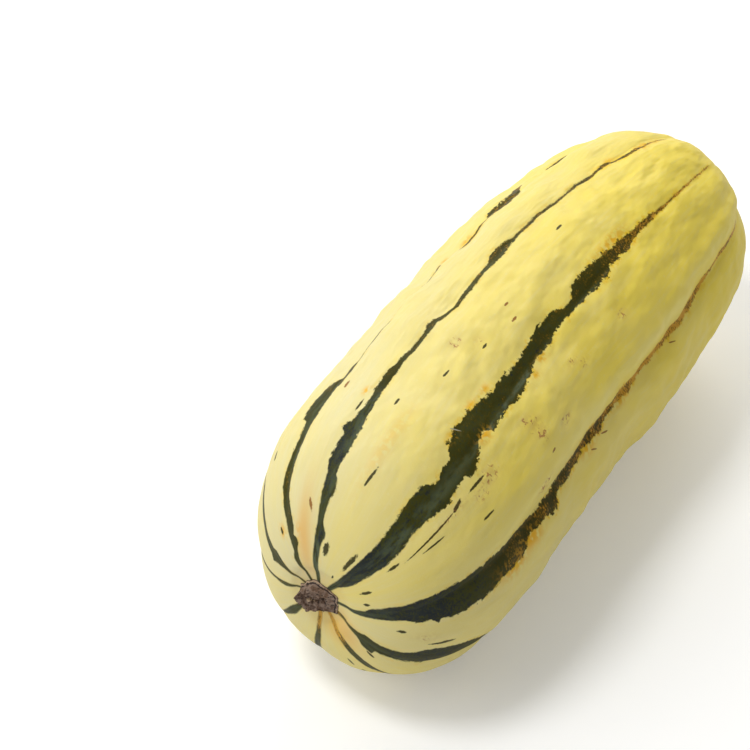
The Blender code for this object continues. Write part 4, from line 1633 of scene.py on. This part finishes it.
    def build(self) -> bpy.types.Object:
        """Build and dress the stub, which stands for the solid one.

        Returns:
            The piece.
        """
        turns = np.linspace(0.0, 2 * math.pi, self.columns, endpoint=False)
        side_rows = [(row / (self.rows - 1), 1.0) for row in range(self.rows)]
        end_rows = [(1.0, 1 - (ring + 1) / (self.end_rings + 1)) for ring in range(self.end_rings)]
        rows = side_rows + end_rows
        points = [self.point(height, spread, turn) for height, spread in rows for turn in turns]
        points += [self.point(0.0, 0.0, 0.0), self.point(1.0, 0.0, 0.0)]
        points = np.array(points)
        attributes = self.marks(rows, turns, points)
        low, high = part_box("stem_stub")
        fit_to_box(points, low, high, (0, 1, 2))

        base_pole = len(rows) * self.columns
        faces = ring_faces(len(rows), self.columns, 0)
        faces += cap_faces(base_pole, 0, self.columns, flip=True)
        faces += cap_faces(base_pole + 1, base_pole - self.columns, self.columns, flip=False)
        piece = make_piece("dry_stem_stub", points, faces, attributes)
        piece.data.materials.append(self.finish.material())
        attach(piece, "root")
        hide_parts("stem_stub")
        return piece


def hold_facing(
    name: str, data: bpy.types.ID, aim: Vector, back: tuple[float, float, float], distance: float
) -> bpy.types.Object:
    """Put a light or camera into the scene, facing a place.

    Args:
        name: its name.
        data: the light's or camera's data.
        aim: the place that it faces.
        back: the direction from that place back to it.
        distance: how far from that place it is.

    Returns:
        The new object.
    """
    direction = Vector(back).normalized()
    held = bpy.data.objects.new(name, data)
    held.location = aim + direction * distance
    held.rotation_mode = "QUATERNION"
    held.rotation_quaternion = (-direction).to_track_quat("-Z", "Y")
    bpy.context.scene.collection.objects.link(held)
    return held


@dataclass(frozen=True)
class FloorFinish:
    """Plain white sweep with a faint unevenness, whose shadows look light to the eye."""

    white: Colour = (0.88, 0.88, 0.88)
    shade: Colour = (0.86, 0.86, 0.86)
    cloud_size: float = 0.4
    unlit: Colour = (0.0, 0.0, 0.0)
    lift: Colour = (0.22, 0.22, 0.215)
    roughness: float = 0.9

    def material(self) -> bpy.types.Material:
        """Build the floor's finish, lifted by a small glow that only the camera sees.

        Returns:
            The floor's material.
        """
        material, wiring, shader = new_material("white_sweep")
        place = wiring.add("ShaderNodeTexCoord").outputs["Object"]
        seen = wiring.add("ShaderNodeLightPath").outputs["Is Camera Ray"]
        clouds = wiring.noise(place, self.cloud_size, seed=1.0)
        wiring.feed(shader, {
            "Base Color": wiring.mix(clouds, self.white, self.shade),
            "Emission Color": wiring.mix(seen, self.unlit, self.lift),
            "Emission Strength": 1.0,
            "Roughness": self.roughness,
            "Specular IOR Level": 0.0,
        })
        return material


@dataclass(frozen=True)
class SoftBox:
    """A round soft light: its direction from the squash, distance, width and power in watts."""

    name: str
    direction: tuple[float, float, float]
    distance: float
    width: float
    power: float
    aim: tuple[float, float, float] = (0.0, 0.0, 40 * MM)

    def hang(self) -> None:
        """Hang the light, turned to the squash."""
        data = bpy.data.lights.new(self.name, "AREA")
        data.shape = "DISK"
        data.size = self.width
        data.energy = self.power
        hold_facing(self.name, data, Vector(self.aim), self.direction, self.distance)


@dataclass
class Studio:
    """White floor, soft light from above and round the squash, and the camera."""

    finish: FloorFinish = field(default_factory=FloorFinish)
    floor_size: float = 6.0
    aim: tuple[float, float, float] = (-17.97 * MM, 35.71 * MM, 41.95 * MM)
    back: tuple[float, float, float] = (-0.5788, -0.4190, 0.6997)
    distance: float = 1.0
    lens: float = 166.4
    sensor_width: float = 36.0
    boxes: tuple[SoftBox, ...] = (
        SoftBox("key", (-0.33, 0.26, 1.0), 1.1, 0.34, 5.0),
        SoftBox("side", (0.25, 0.90, 0.45), 1.3, 0.9, 3.6),
        SoftBox("far", (0.80, 0.40, 0.55), 1.3, 0.9, 6.6),
        SoftBox("left", (-0.72, 0.58, 0.62), 1.3, 0.9, 3.3),
    )
    fill: tuple[float, float, float, float] = (1.0, 1.0, 1.0, 1.0)
    fill_strength: float = 0.345

    def floor(self) -> None:
        """Build the floor, which isn't part of the object."""
        reach = self.floor_size / 2
        corners = [(-reach, -reach, 0), (reach, -reach, 0), (reach, reach, 0), (-reach, reach, 0)]
        piece = make_piece("floor", np.array(corners), [(0, 1, 2, 3)], {})
        piece.data.materials.append(self.finish.material())

    def lights(self) -> None:
        """Hang the soft boxes and set the even light all round, which the rind doesn't mirror."""
        for box in self.boxes:
            box.hang()
        world = bpy.data.worlds.new("studio")
        world.use_nodes = True
        background = world.node_tree.nodes["Background"]
        background.inputs["Color"].default_value = self.fill
        background.inputs["Strength"].default_value = self.fill_strength
        world.cycles_visibility.glossy = False
        bpy.context.scene.world = world

    def camera(self) -> None:
        """Place the camera and make it the scene's own."""
        data = bpy.data.cameras.new("camera")
        data.sensor_width = self.sensor_width
        data.lens = self.lens
        camera = hold_facing("camera", data, Vector(self.aim), self.back, self.distance)
        bpy.context.scene.camera = camera

    def build(self) -> None:
        """Set up floor, lights, camera and plain colour handling."""
        self.floor()
        self.lights()
        self.camera()
        bpy.context.scene.view_settings.view_transform = "Standard"


def main() -> None:
    """Build the squash's pieces in order, then the studio round them."""
    logging.basicConfig(level=logging.INFO, format="%(name)s: %(message)s")
    for maker in (Rind(), StemStub()):
        piece = maker.build()
        mesh = piece.data
        LOG.info("%s: %d vertices, %d faces", piece.name, len(mesh.vertices), len(mesh.polygons))
    Studio().build()
    LOG.info("studio set up")


if __name__ == "__main__":
    main()
